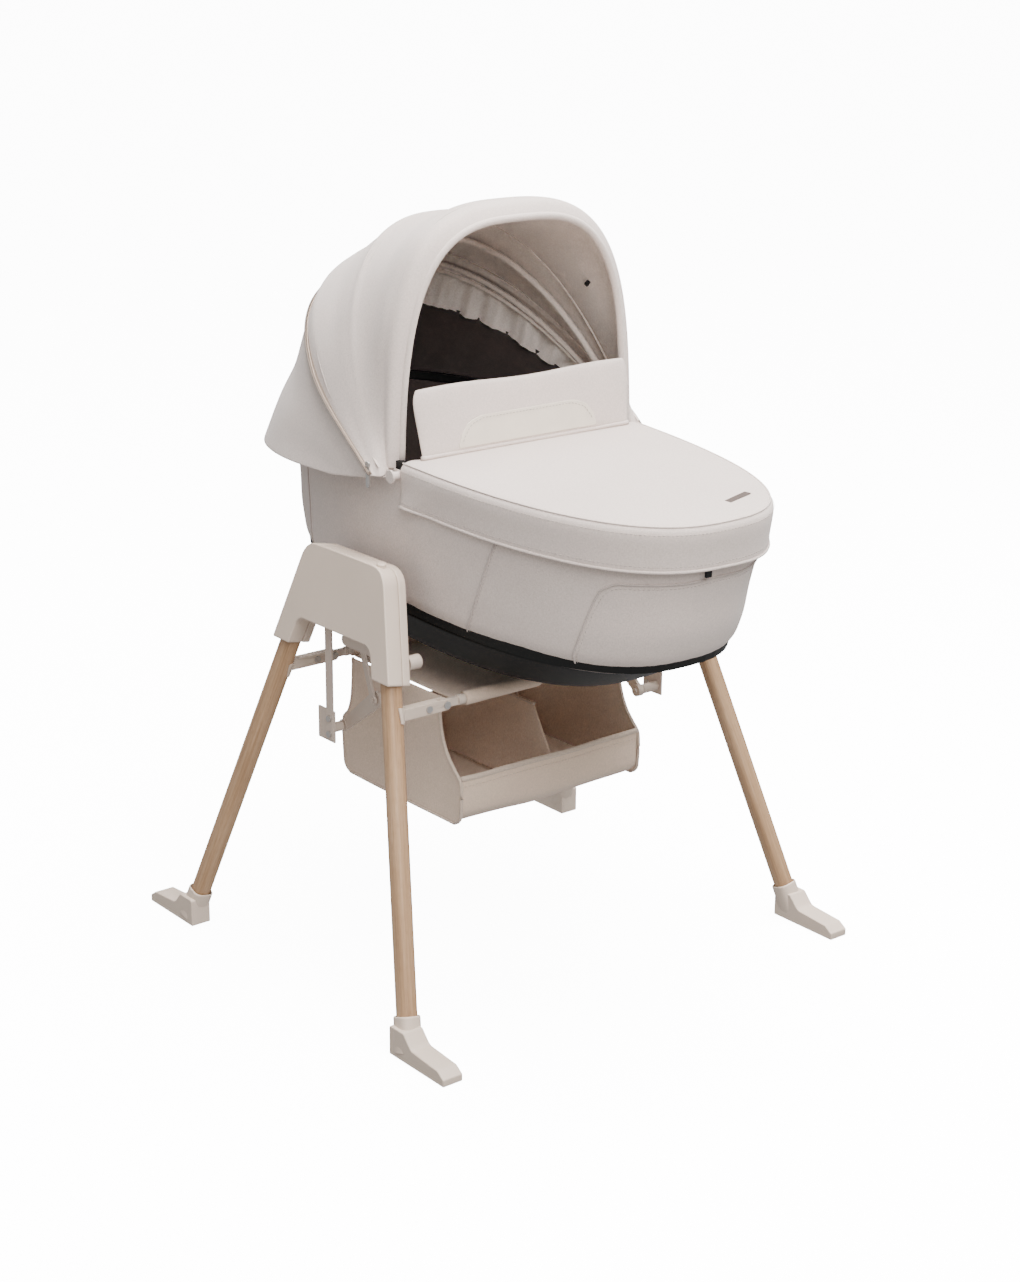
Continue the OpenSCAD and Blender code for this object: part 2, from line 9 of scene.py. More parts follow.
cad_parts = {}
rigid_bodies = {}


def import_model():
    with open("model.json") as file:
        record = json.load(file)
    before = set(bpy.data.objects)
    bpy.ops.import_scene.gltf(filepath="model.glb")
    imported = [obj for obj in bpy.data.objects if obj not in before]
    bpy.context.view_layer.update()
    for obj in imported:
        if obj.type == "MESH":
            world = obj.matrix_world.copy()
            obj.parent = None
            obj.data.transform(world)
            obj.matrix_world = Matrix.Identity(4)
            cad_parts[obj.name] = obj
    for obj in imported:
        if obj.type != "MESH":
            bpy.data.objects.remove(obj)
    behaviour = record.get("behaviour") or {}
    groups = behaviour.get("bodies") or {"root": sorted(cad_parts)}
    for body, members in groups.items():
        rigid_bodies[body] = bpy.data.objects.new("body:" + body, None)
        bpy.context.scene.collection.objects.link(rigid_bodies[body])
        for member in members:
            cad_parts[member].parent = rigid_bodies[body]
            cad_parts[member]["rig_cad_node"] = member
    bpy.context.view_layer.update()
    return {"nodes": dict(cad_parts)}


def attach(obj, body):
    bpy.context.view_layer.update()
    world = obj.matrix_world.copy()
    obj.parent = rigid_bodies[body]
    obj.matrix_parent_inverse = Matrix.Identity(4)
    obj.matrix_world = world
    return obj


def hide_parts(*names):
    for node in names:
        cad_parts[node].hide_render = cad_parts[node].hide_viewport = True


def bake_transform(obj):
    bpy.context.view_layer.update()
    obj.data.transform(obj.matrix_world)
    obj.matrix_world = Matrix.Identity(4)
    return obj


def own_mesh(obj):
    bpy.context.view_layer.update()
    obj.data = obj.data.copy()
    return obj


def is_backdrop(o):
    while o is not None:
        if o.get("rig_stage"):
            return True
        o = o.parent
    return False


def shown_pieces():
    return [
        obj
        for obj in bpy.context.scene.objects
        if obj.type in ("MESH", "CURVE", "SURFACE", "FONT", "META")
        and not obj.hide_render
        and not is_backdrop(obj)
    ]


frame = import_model()

# The shared frame's origin is under the whole object's middle, and the stand's middle lies YS behind it.
# All lengths are metres.
YS = 0.0265

# Axis of the rocking gear, of the hood and of the wind flap, measured from the stand's middle
ROCK_Z = 0.470
HOOD_Y, HOOD_Z = -0.05, 0.655
FLAP_Y, FLAP_Z, FLAP_LEAN = -0.064, 0.6755, radians(9.2)


def P(x, y, z):
    """Point of the shared frame, given from the stand's middle."""
    return Vector((x, y + YS, z))


# ---------------------------------------------------------------- materials

def new_mat(name):
    m = bpy.data.materials.new(name)
    m.use_nodes = True
    nt = m.node_tree
    return m, nt, nt.nodes["Principled BSDF"]


def node(nt, kind, **inputs):
    n = nt.nodes.new(kind)
    for k, v in inputs.items():
        key = k.replace("_", " ")
        if key in n.inputs:
            n.inputs[key].default_value = v
        else:
            setattr(n, k, v)
    return n


def noise_tex(nt, coord, scale, detail=3.0, stretch=(1, 1, 1), rough=0.55):
    mp = node(nt, "ShaderNodeMapping")
    mp.inputs["Scale"].default_value = stretch
    nt.links.new(coord, mp.inputs["Vector"])
    n = node(nt, "ShaderNodeTexNoise", Scale=scale, Detail=detail, Roughness=rough)
    nt.links.new(mp.outputs["Vector"], n.inputs["Vector"])
    return n.outputs["Fac"]


def math_node(nt, op, a, b):
    n = node(nt, "ShaderNodeMath", operation=op)
    for i, v in enumerate((a, b)):
        if isinstance(v, (int, float)):
            n.inputs[i].default_value = v
        else:
            nt.links.new(v, n.inputs[i])
    return n.outputs[0]


def ramp(nt, fac, stops):
    r = node(nt, "ShaderNodeValToRGB")
    r.color_ramp.elements[0].position = stops[0][0]
    r.color_ramp.elements[0].color = (*stops[0][1], 1)
    r.color_ramp.elements[1].position = stops[-1][0]
    r.color_ramp.elements[1].color = (*stops[-1][1], 1)
    for p, c in stops[1:-1]:
        e = r.color_ramp.elements.new(p)
        e.color = (*c, 1)
    nt.links.new(fac, r.inputs["Fac"])
    return r.outputs["Color"]


def mix_color(nt, fac, a, b, kind="MIX"):
    n = node(nt, "ShaderNodeMix", data_type="RGBA", blend_type=kind)
    for key, v in ((0, fac), (6, a), (7, b)):
        if isinstance(v, (int, float)):
            n.inputs[key].default_value = v
        elif isinstance(v, tuple):
            n.inputs[key].default_value = (*v, 1)
        else:
            nt.links.new(v, n.inputs[key])
    return n.outputs[2]


def bump(nt, bsdf, height, strength, dist):
    b = node(nt, "ShaderNodeBump", Strength=strength, Distance=dist)
    nt.links.new(height, b.inputs["Height"])
    nt.links.new(b.outputs["Normal"], bsdf.inputs["Normal"])


def scaled(c, k):
    return tuple(min(1.0, v * k) for v in c)


def cloth_mat(name, color, contrast=0.10, thread=1500, depth=0.5, rough=0.88, sheen=0.25):
    """Woven cloth: crossed threads in UV metres, flecks, and a slow change of tone."""
    m, nt, bsdf = new_mat(name)
    tc = node(nt, "ShaderNodeTexCoord")
    uv, ob = tc.outputs["UV"], tc.outputs["Object"]
    warp = noise_tex(nt, uv, 1.0, 2.0, (thread, thread * 0.16, 1))
    weft = noise_tex(nt, uv, 1.0, 2.0, (thread * 0.16, thread, 1))
    weave = math_node(nt, "MAXIMUM", warp, weft)
    fleck = noise_tex(nt, ob, 420, 3.0)
    slow = noise_tex(nt, ob, 7, 2.0)
    c1 = ramp(nt, weave, [(0.36, scaled(color, 1 - contrast)), (0.7, scaled(color, 1 + contrast * 0.6))])
    c2 = ramp(nt, fleck, [(0.35, (0.90, 0.895, 0.89)), (0.65, (1, 1, 1))])
    c3 = ramp(nt, slow, [(0.3, (0.95, 0.95, 0.955)), (0.7, (1, 1, 1))])
    c = mix_color(nt, 1.0, c1, c2, "MULTIPLY")
    c = mix_color(nt, 1.0, c, c3, "MULTIPLY")
    nt.links.new(c, bsdf.inputs["Base Color"])
    bsdf.inputs["Roughness"].default_value = rough
    bsdf.inputs["Sheen Weight"].default_value = sheen
    bsdf.inputs["Sheen Roughness"].default_value = 0.6
    bsdf.inputs["Specular IOR Level"].default_value = 0.2
    bump(nt, bsdf, weave, depth, 0.0006)
    return m


def plastic_mat(name, color, rough=0.48, grain=0.12, shine=0.5):
    m, nt, bsdf = new_mat(name)
    bsdf.inputs["Specular IOR Level"].default_value = shine
    tc = node(nt, "ShaderNodeTexCoord")
    ob = tc.outputs["Object"]
    fine = noise_tex(nt, ob, 1300, 2.0)
    slow = noise_tex(nt, ob, 11, 2.0)
    c = ramp(nt, slow, [(0.3, scaled(color, 0.965)), (0.7, scaled(color, 1.02))])
    nt.links.new(c, bsdf.inputs["Base Color"])
    r = ramp(nt, fine, [(0.3, (rough - 0.06,) * 3), (0.7, (rough + 0.08,) * 3)])
    nt.links.new(r, bsdf.inputs["Roughness"])
    bump(nt, bsdf, fine, grain, 0.0003)
    return m


def metal_mat(name, color, rough=0.34, stretch=(1, 1, 12)):
    m, nt, bsdf = new_mat(name)
    tc = node(nt, "ShaderNodeTexCoord")
    brushed = noise_tex(nt, tc.outputs["Object"], 300, 3.0, stretch)
    c = ramp(nt, brushed, [(0.3, scaled(color, 0.85)), (0.7, scaled(color, 1.08))])
    nt.links.new(c, bsdf.inputs["Base Color"])
    r = ramp(nt, brushed, [(0.3, (rough,) * 3), (0.7, (rough + 0.14,) * 3)])
    nt.links.new(r, bsdf.inputs["Roughness"])
    bsdf.inputs["Metallic"].default_value = 0.9
    bump(nt, bsdf, brushed, 0.08, 0.0003)
    return m


def oak_mat(name):
    """Clear-lacquered oak. U runs round the leg and V along it, in metres."""
    m, nt, bsdf = new_mat(name)
    uv = node(nt, "ShaderNodeTexCoord").outputs["UV"]
    bands = noise_tex(nt, uv, 1.0, 4.0, (150, 5.5, 1), 0.6)
    fibre = noise_tex(nt, uv, 1.0, 3.0, (1100, 26, 1), 0.7)
    pores = noise_tex(nt, uv, 1.0, 2.0, (1900, 70, 1), 0.5)
    tones = [(0.25, (0.27, 0.150, 0.075)), (0.5, (0.42, 0.255, 0.14)), (0.75, (0.54, 0.355, 0.215))]
    c = ramp(nt, bands, tones)
    f = ramp(nt, fibre, [(0.3, (0.86, 0.84, 0.81)), (0.62, (1, 1, 1))])
    p = ramp(nt, pores, [(0.30, (0.62, 0.56, 0.50)), (0.42, (1, 1, 1))])
    c = mix_color(nt, 1.0, c, f, "MULTIPLY")
    c = mix_color(nt, 0.6, c, p, "MULTIPLY")
    nt.links.new(c, bsdf.inputs["Base Color"])
    bsdf.inputs["Roughness"].default_value = 0.46
    bump(nt, bsdf, fibre, 0.18, 0.0004)
    return m


def leather_mat(name, color):
    m, nt, bsdf = new_mat(name)
    ob = node(nt, "ShaderNodeTexCoord").outputs["Object"]
    v = node(nt, "ShaderNodeTexVoronoi", Scale=1100.0)
    nt.links.new(ob, v.inputs["Vector"])
    slow = noise_tex(nt, ob, 40, 3.0)
    c = ramp(nt, slow, [(0.3, scaled(color, 0.96)), (0.7, scaled(color, 1.03))])
    nt.links.new(c, bsdf.inputs["Base Color"])
    bsdf.inputs["Roughness"].default_value = 0.42
    bump(nt, bsdf, v.outputs["Distance"], 0.25, 0.0004)
    return m


OAT = (0.70, 0.592, 0.532)
M = {
    "cloth": cloth_mat("Oat cloth", OAT),
    # Painted shade: a 3% darker copy of the oat cloth for the shell's sides and the apron's hem, which get
    # less light than the tops
    "cloth_shaded_side": cloth_mat("Oat cloth, shell, painted shade", scaled(OAT, 0.97)),
    # Painted shade: the seam bindings are the oat cloth darkened to 74%, which paints the shadow along each
    # seam onto the binding
    "seam": cloth_mat("Seam binding, painted shade", scaled(OAT, 0.74), thread=2200),
    "thread": cloth_mat("Thread", scaled(OAT, 0.70), thread=3000, depth=0.2),
    "taupe": cloth_mat("Hood lining", (0.74, 0.635, 0.56), thread=2400, depth=0.25),
    # Painted light: the gathered strip is made brighter than the oat cloth to make up for the shade it sits
    # in inside the hood
    "gather_painted_light": cloth_mat("Gathered cloth, painted light", (0.90, 0.80, 0.73), thread=2400, depth=0.25),
    # Partly painted shade: a dark lining whose colour is pushed nearly to black, standing in for the shade
    # inside the carrycot and the hood
    "dark": cloth_mat("Dark lining, painted shade", (0.060, 0.043, 0.039), contrast=0.18, thread=2200, sheen=0.1),
    "canvas": cloth_mat("Basket canvas", (0.70, 0.53, 0.405), contrast=0.08, thread=1300),
    "canvas_edge": cloth_mat("Basket binding", (0.57, 0.445, 0.35), thread=2200),
    "quilt": cloth_mat("Mattress cover", (0.78, 0.75, 0.71), contrast=0.05, thread=2000),
    "patch": leather_mat("Cream leatherette", (0.75, 0.67, 0.565)),
    "stone": plastic_mat("Stone plastic", (0.63, 0.51, 0.415)),
    "black": plastic_mat("Black plastic", (0.007, 0.007, 0.007), 0.5, 0.2, 0.18),
    "plaque": leather_mat("Brown plaque", (0.085, 0.06, 0.05)),
    "oak": oak_mat("Oak"),
    "steel": metal_mat("Satin steel", (0.55, 0.53, 0.51)),
    "coat": plastic_mat("Powder coat", (0.59, 0.485, 0.405), 0.42, 0.2),
    "zip": metal_mat("Zip teeth", (0.26, 0.20, 0.16), 0.38),
    "tape": cloth_mat("Zip tape", (0.25, 0.19, 0.15), thread=2600),
}


# ---------------------------------------------------------------- mesh helpers

def add_mesh(name, verts, faces, mat, uv=None, smooth=True):
    """uv gives one (u, v) for each corner of each face, in order."""
    me = bpy.data.meshes.new(name)
    me.from_pydata([tuple(v) for v in verts], [], faces)
    if uv is not None:
        layer = me.uv_layers.new(name="UVMap")
        layer.data.foreach_set("uv", np.array(uv, float).ravel())
    me.materials.append(M[mat])
    me.validate()
    ob = bpy.data.objects.new(name, me)
    bpy.context.scene.collection.objects.link(ob)
    for p in me.polygons:
        p.use_smooth = smooth
    return ob


def grid(name, fn, nu, nv, mat, size, wrap=False):
    """Sheet from fn(u, v), u and v from 0 to 1. size is its (width, length). wrap closes it along u."""
    nrow = nu if wrap else nu + 1
    verts = [fn(i / nu, j / nv) for j in range(nv + 1) for i in range(nrow)]
    faces, uv = [], []
    for j in range(nv):
        for i in range(nu):
            a, b = i, (i + 1) % nrow
            low, high = j * nrow, (j + 1) * nrow
            faces.append((low + a, low + b, high + b, high + a))
            for s, t in ((i, j), (i + 1, j), (i + 1, j + 1), (i, j + 1)):
                uv.append((s / nu * size[0], t / nv * size[1]))
    return add_mesh(name, verts, faces, mat, uv)


def tube(name, pts, r, mat, closed=False, sides=8, flat=1.0):
    """Round or flattened tube along pts. r is its radius, or a function of the share of the length."""
    pts = [Vector(p) for p in pts]
    n = len(pts)
    verts, faces, uv = [], [], []
    up = Vector((0, 0, 1))
    along = 0.0
    dist = []
    for k in range(n):
        dist.append(along)
        along += (pts[(k + 1) % n] - pts[k]).length
    for k in range(n):
        a = pts[(k - 1) % n] if closed or k else pts[0]
        b = pts[(k + 1) % n] if closed or k < n - 1 else pts[-1]
        t = (b - a).normalized()
        side = t.cross(up)
        if side.length < 1e-4:
            side = t.cross(Vector((1, 0, 0)))
        side.normalize()
        nor = side.cross(t)
        rr = r(k / (n - 1)) if callable(r) else r
        for s in range(sides):
            ang = 2 * pi * s / sides
            verts.append(pts[k] + side * cos(ang) * rr + nor * sin(ang) * rr * flat)
    for k in range(n if closed else n - 1):
        for s in range(sides):
            a, b = k * sides + s, k * sides + (s + 1) % sides
            c, d = ((k + 1) % n) * sides + (s + 1) % sides, ((k + 1) % n) * sides + s
            faces.append((a, d, c, b))
            u0, u1, v0, v1 = s * 0.002, s * 0.002 + 0.002, dist[k], dist[k] + 0.01
            uv += [(u0, v0), (u0, v1), (u1, v1), (u1, v0)]
    if not closed:
        faces.append(tuple(range(sides)))
        faces.append(tuple((n - 1) * sides + s for s in reversed(range(sides))))
        uv += [(0, 0)] * (2 * sides)
    return add_mesh(name, verts, faces, mat, uv)


def resample(pts, step):
    """Points step apart along a line."""
    pts = [Vector(p) for p in pts]
    out, carry = [pts[0]], 0.0
    for a, b in zip(pts, pts[1:]):
        d = (b - a).length
        s = step - carry
        while s <= d:
            out.append(a.lerp(b, s / d))
            s += step
        carry = d - (s - step)
    return out


def stitches(name, pts, mat="thread", length=0.0034, gap=0.0019, r=0.00048):
    """A row of short threads along pts."""
    verts, faces, uv = [], [], []
    q = resample(pts, length + gap)
    for a, b in zip(q, q[1:]):
        t = (b - a).normalized()
        e = a + t * length
        side = t.cross(Vector((0, 0, 1)))
        if side.length < 1e-4:
            side = Vector((1, 0, 0))
        side.normalize()
        nor = side.cross(t)
        k = len(verts)
        for c, w in ((a, 0.45), (a.lerp(e, 0.5), 1.0), (e, 0.45)):
            for sx, sn in ((1, 0), (0, 1), (-1, 0), (0, -1)):
                verts.append(c + side * sx * r * w + nor * sn * r * w)
        for m in range(2):
            for s in range(4):
                a0, a1 = k + m * 4 + s, k + m * 4 + (s + 1) % 4
                faces.append((a0, a1, a1 + 4, a0 + 4))
                uv += [(0, 0), (0.0005, 0), (0.0005, 0.001), (0, 0.001)]
        faces.append((k + 3, k + 2, k + 1, k))
        faces.append((k + 8, k + 9, k + 10, k + 11))
        uv += [(0, 0)] * 8
    return add_mesh(name, verts, faces, mat, uv)


def smooth_out(ob, levels=1):
    b = ob.modifiers.new("Smooth", "SUBSURF")
    b.levels = b.render_levels = levels


def thicken(ob, t, offset=-1.0, levels=1):
    """Gives a sheet its thickness, and a smooth surface where levels isn't 0."""
    s = ob.modifiers.new("Thickness", "SOLIDIFY")
    s.thickness, s.offset = t, offset
    s.use_even_offset = False
    if levels:
        smooth_out(ob, levels)


def fillet(pts, r, n=5):
    """Rounds the corners of a closed outline. r is one radius or one for each corner."""
    out = []
    k = len(pts)
    for i in range(k):
        a, b, c = (Vector(pts[(i + s) % k]) for s in (-1, 0, 1))
        rr = r[i] if isinstance(r, (list, tuple)) else r
        u, w = (a - b), (c - b)
        if rr <= 0:
            out.append(b)
            continue
        ang = u.angle(w)
        d = min(rr / max(1e-6, abs(tan(ang / 2))), u.length * 0.48, w.length * 0.48)
        s, e = b + u.normalized() * d, b + w.normalized() * d
        for m in range(n + 1):
            t = m / n
            out.append(s * (1 - t) ** 2 + b * 2 * t * (1 - t) + e * t * t)
    return out


def dense(shape, step=0.004):
    """A closed outline with points at most step apart."""
    out = []
    for a, b in zip(shape, shape[1:] + shape[:1]):
        n = max(1, int((b - a).length / step))
        out += [a.lerp(b, k / n) for k in range(n)]
    return out


def clean(ob, weld=0.0):
    """Makes a mesh's faces look outward, after it joins points closer than weld."""
    bm = bmesh.new()
    bm.from_mesh(ob.data)
    if weld:
        bmesh.ops.remove_doubles(bm, verts=bm.verts[:], dist=weld)
    bmesh.ops.recalc_face_normals(bm, faces=bm.faces[:])
    bm.to_mesh(ob.data)
    bm.free()


def slab(name, shape, w0, w1, place, mat, bevel=0.003, segments=3):
    """Plate with a 2-D outline, from depth w0 to w1. place(u, v, w) puts it in space."""
    n = len(shape)
    verts = [place(u, v, w0) for u, v in shape] + [place(u, v, w1) for u, v in shape]
    faces = [tuple(range(n)), tuple(range(2 * n - 1, n - 1, -1))]
    faces += [(i, i + n, (i + 1) % n + n, (i + 1) % n) for i in range(n)]
    ob = add_mesh(name, verts, faces, mat)
    clean(ob)
    soften(ob, bevel, segments, weld=False)
    return ob


def soften(ob, width, segments=2, weld=True):
    """Small rounded edges with clean shading."""
    if weld:
        w = ob.modifiers.new("Weld", "WELD")
        w.merge_threshold = 2e-5
    b = ob.modifiers.new("Edge", "BEVEL")
    b.width, b.segments, b.limit_method, b.angle_limit = width, segments, "ANGLE", radians(40)
    w = ob.modifiers.new("Normals", "WEIGHTED_NORMAL")
    w.keep_sharp = False


def cad_mat(mat, width, *names):
    """Gives CAD nodes a finished material and slightly rounded edges; the shape stays."""
    for n in names:
        ob = frame["nodes"][n]
        for s in ob.material_slots:
            s.material = M[mat]
        if width:
            soften(ob, width)


def ridden(ob, body, slot=None, *nodes):
    """Lets a piece ride on a body, and hides the CAD nodes that it stands for. slot is not used."""
    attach(ob, body)
    if nodes:
        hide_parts(*nodes)


def wobble(p, scale, amp, seed=0.0):
    """Smooth noise at p, about amp high either way."""
    q = Vector(p) * scale + Vector((seed, seed * 1.7, -seed))
    return noise.noise(q) * amp


# ---------------------------------------------------------------- carrycot outline

def pw(v, e):
    """Power that keeps the sign."""
    return (1 if v >= 0 else -1) * abs(v) ** e


TIP = radians(3.4)


def tip(q):
    """Turns the carrycot's own frame into the shared one: it hangs down a little at the foot end."""
    y, z = q.y, q.z - ROCK_Z
    return P(q.x, y * cos(TIP) - z * sin(TIP), ROCK_Z + y * sin(TIP) + z * cos(TIP))


def untip(p):
    """Turns a point of the shared frame into the carrycot's own frame."""
    y, z = p.y - YS, p.z - ROCK_Z
    return Vector((p.x, y * cos(TIP) + z * sin(TIP), ROCK_Z - y * sin(TIP) + z * cos(TIP)))


def ellipse(t, a, f, rear=0.88):
    """Rounded outline, a wide and f long at the foot end. The head end is shorter and rounder."""
    b, p = (f * rear, 2.2) if sin(t) > 0 else (f, 2.55)
    return a * pw(cos(t), 2 / p), b * pw(sin(t), 2 / p)


def outline_own(t, z, inset=0.0):
    """Point on the carrycot's side at angle t (radians) and height z in its own frame, pulled in by inset."""
    k = (z - 0.478) / 0.194
    bulge = 0.005 * exp(-((z - 0.53) / 0.03) ** 2)
    x, y = ellipse(t, 0.178 + 0.0105 * k - inset, 0.370 + 0.0465 * k - inset + bulge)
    return Vector((x, y, z))


def outline(t, z, inset=0.0):
    return tip(outline_own(t, z, inset))


def even_outline(n, z=0.55):
    """Angles that give n points evenly spaced along the outline, and its length."""
    m = 2400
    ts = [2 * pi * k / m for k in range(m + 1)]
    ps = [outline(t, z) for t in ts]
    cum = [0.0]
    for a, b in zip(ps, ps[1:]):
        cum.append(cum[-1] + (b - a).length)
    return [float(np.interp(cum[-1] * k / n, cum, ts)) for k in range(n + 1)], cum[-1]


RING_N = 220
RING_T, RING_LEN = even_outline(RING_N)


def ring_t(u):
    """Angle at the share u of the way round."""
    k = (u % 1.0) * RING_N
    i = int(k) % RING_N
    return RING_T[i] + (RING_T[i + 1] - RING_T[i]) * (k - int(k))


def lookup(knots):
    """Smooth curve through [(x, value), ...], sorted by x."""
    xs = [k[0] for k in knots]
    ys = [k[1] for k in knots]
    ms = []
    for i in range(len(xs)):
        a, b = max(0, i - 1), min(len(xs) - 1, i + 1)
        ms.append((ys[b] - ys[a]) / (xs[b] - xs[a]))

    def at(x):
        x = min(max(x, xs[0]), xs[-1])
        i = max(0, min(len(xs) - 2, int(np.searchsorted(xs, x)) - 1))
        h = xs[i + 1] - xs[i]
        t = (x - xs[i]) / h
        return (ys[i] * (2 * t**3 - 3 * t**2 + 1) + ms[i] * h * (t**3 - 2 * t**2 + t)
                + ys[i + 1] * (3 * t**2 - 2 * t**3) + ms[i + 1] * h * (t**3 - t**2))

    return at


def box_uv(me):
    """UVs in metres, laid on each face along the axis it faces most."""
    n = len(me.loops)
    idx = np.zeros(n, int)
    me.loops.foreach_get("vertex_index", idx)
    co = np.zeros(len(me.vertices) * 3)
    me.vertices.foreach_get("co", co)
    co = co.reshape(-1, 3)[idx]
    start = np.zeros(len(me.polygons), int)
    total = np.zeros(len(me.polygons), int)
    nor = np.zeros(len(me.polygons) * 3)
    me.polygons.foreach_get("loop_start", start)
    me.polygons.foreach_get("loop_total", total)
    me.polygons.foreach_get("normal", nor)
    main = np.repeat(np.abs(nor.reshape(-1, 3)).argmax(1), total)
    sideways = np.where((main == 0)[:, None], co[:, [1, 2]], co[:, [0, 2]])
    uv = np.where((main == 2)[:, None], co[:, [0, 1]], sideways)
    layer = me.uv_layers.get("UVMap") or me.uv_layers.new(name="UVMap")
    layer.data.foreach_set("uv", uv.ravel())


def averaged(pts):
    """Smooths a line, with its ends kept."""
    return [pts[0]] + [(a + b * 2 + c) / 4 for a, b, c in zip(pts, pts[1:], pts[2:])] + [pts[-1]]


def length_of(pts):
    return sum((Vector(b) - Vector(a)).length for a, b in zip(pts, pts[1:]))


def area_of(ob):
    return sum(p.area for p in ob.data.polygons)


# ---------------------------------------------------------------- camera, floor and light

scene = bpy.context.scene


def make_set():
    data = bpy.data.cameras.new("Camera")
    data.lens, data.sensor_width, data.clip_start, data.clip_end = 65.52, 36.0, 0.05, 120
    cam = bpy.data.objects.new("Camera", data)
    scene.collection.objects.link(cam)
    scene.camera = cam
    yaw, pitch, roll = radians(38.86), radians(18.13), radians(0.43)
    fw = Vector((sin(yaw) * cos(pitch), cos(yaw) * cos(pitch), -sin(pitch)))
    r = Vector((cos(yaw), -sin(yaw), 0))
    u = r.cross(fw)
    r, u = r * cos(roll) + u * sin(roll), u * cos(roll) - r * sin(roll)
    turn = Matrix((r, u, -fw)).transposed().to_4x4()
    cam.matrix_world = Matrix.Translation(P(-1.797, -2.261, 1.34)) @ turn

    m, nt, bsdf = new_mat("Floor")
    soft = noise_tex(nt, node(nt, "ShaderNodeTexCoord").outputs["Object"], 0.7, 2.0)
    pale = ramp(nt, soft, [(0.3, (0.90, 0.90, 0.90)), (0.7, (0.92, 0.92, 0.92))])
    nt.links.new(pale, bsdf.inputs["Base Color"])
    bsdf.inputs["Roughness"].default_value = 0.9
    bsdf.inputs["Specular IOR Level"].default_value = 0.1
    bsdf.inputs["Emission Color"].default_value = (1, 1, 1, 1)
    bsdf.inputs["Emission Strength"].default_value = 12.0
    M["floor"] = m
    s = 40
    floor = add_mesh("Floor", [(-s, -s, 0), (s, -s, 0), (s, s, 0), (-s, s, 0)], [(0, 1, 2, 3)], "floor")
    floor.visible_diffuse = floor.visible_glossy = False
    floor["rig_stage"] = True

    world = bpy.data.worlds.new("World")
    world.use_nodes = True
    background = world.node_tree.nodes["Background"]
    background.inputs["Color"].default_value = (1, 1, 1, 1)
    background.inputs["Strength"].default_value = 0.60
    scene.world = world

    def area(name, at, to, size, power):
        d = bpy.data.lights.new(name, "AREA")
        d.shape, d.size, d.size_y, d.energy = "RECTANGLE", size[0], size[1], power
        o = bpy.data.objects.new(name, d)
        scene.collection.objects.link(o)
        o.location = P(*at)
        o.rotation_mode = "QUATERNION"
        o.rotation_quaternion = (P(*to) - P(*at)).to_track_quat("-Z", "Y")

    area("Key", (-0.9, -2.6, 3.0), (0, 0, 0.5), (2.4, 2.4), 165)
    area("Top", (0.5, -0.2, 3.6), (0, 0, 0.4), (2.6, 2.6), 360)


make_set()


# ---------------------------------------------------------------- stand

LEAN = atan2(0.320 - 0.2456, 0.4176 - 0.0287)
SIDES = ((-1, "left", "left_frame"), (1, "right", "right_frame"))


def side_pt(s, x, y, z):
    """The right frame is the left one turned half a turn about the vertical."""
    return P(x, y, z) if s < 0 else P(-x, -y, z)


def leg_at(z, k):
    """Point of the left frame's front (k = -1) or rear (k = 1) leg axis at height z."""
    t = (z - 0.0287) / 0.3889
    return Vector((-0.320 + 0.0744 * t, k * (0.2387 - 0.1307 * t), z))


def on_leg(name, s, k, z0, z1, radius, p, mat, nu=36, nv=24):
    """Loft round the leg's axis, from height z0 to z1. radius(v) is its half width, p its roundness."""
    a, b = leg_at(z0, k), leg_at(z1, k)
    d = (b - a).normalized()
    e1 = (Vector((0, k, 0)) - d * d.y * k).normalized()
    e2 = d.cross(e1)

    def fn(u, v):
        r = radius(v)
        t = 2 * pi * u
        q = a + (b - a) * v + e1 * (r * pw(cos(t), 2 / p)) + e2 * (r * pw(sin(t), 2 / p))
        return side_pt(s, *q)

    return grid(name, fn, nu, nv, mat, (2 * pi * 0.012, (b - a).length), wrap=True)


def hub_place(s):
    """Puts (u, v, w) on the leaning plane of a hub."""
    def place(u, v, w):
        x = -0.2456 + w * cos(LEAN) + v * sin(LEAN)
        return side_pt(s, x, u, 0.4176 - w * sin(LEAN) + v * cos(LEAN))
    return place


def foot_place(s):
    """Puts (u, v, w) on the upright plane of the feet."""
    def place(u, v, w):
        return side_pt(s, -0.323 + w, u, v)
    return place


HUB = fillet(
    [(0.1259, 0), (0.0815, 0.1348), (-0.0815, 0.1348), (-0.1259, 0),
     (-0.0901, 0), (-0.0776, 0.037), (0.0776, 0.037), (0.0901, 0)],
    [0.003, 0.032, 0.032, 0.003, 0.003, 0.018, 0.018, 0.003],
    8,
)
FOOT = [(0.2247, 0), (0.332, 0), (0.332, 0.0095), (0.320, 0.0175), (0.2687, 0.0215), (0.2535, 0.038),
        (0.2247, 0.038)]


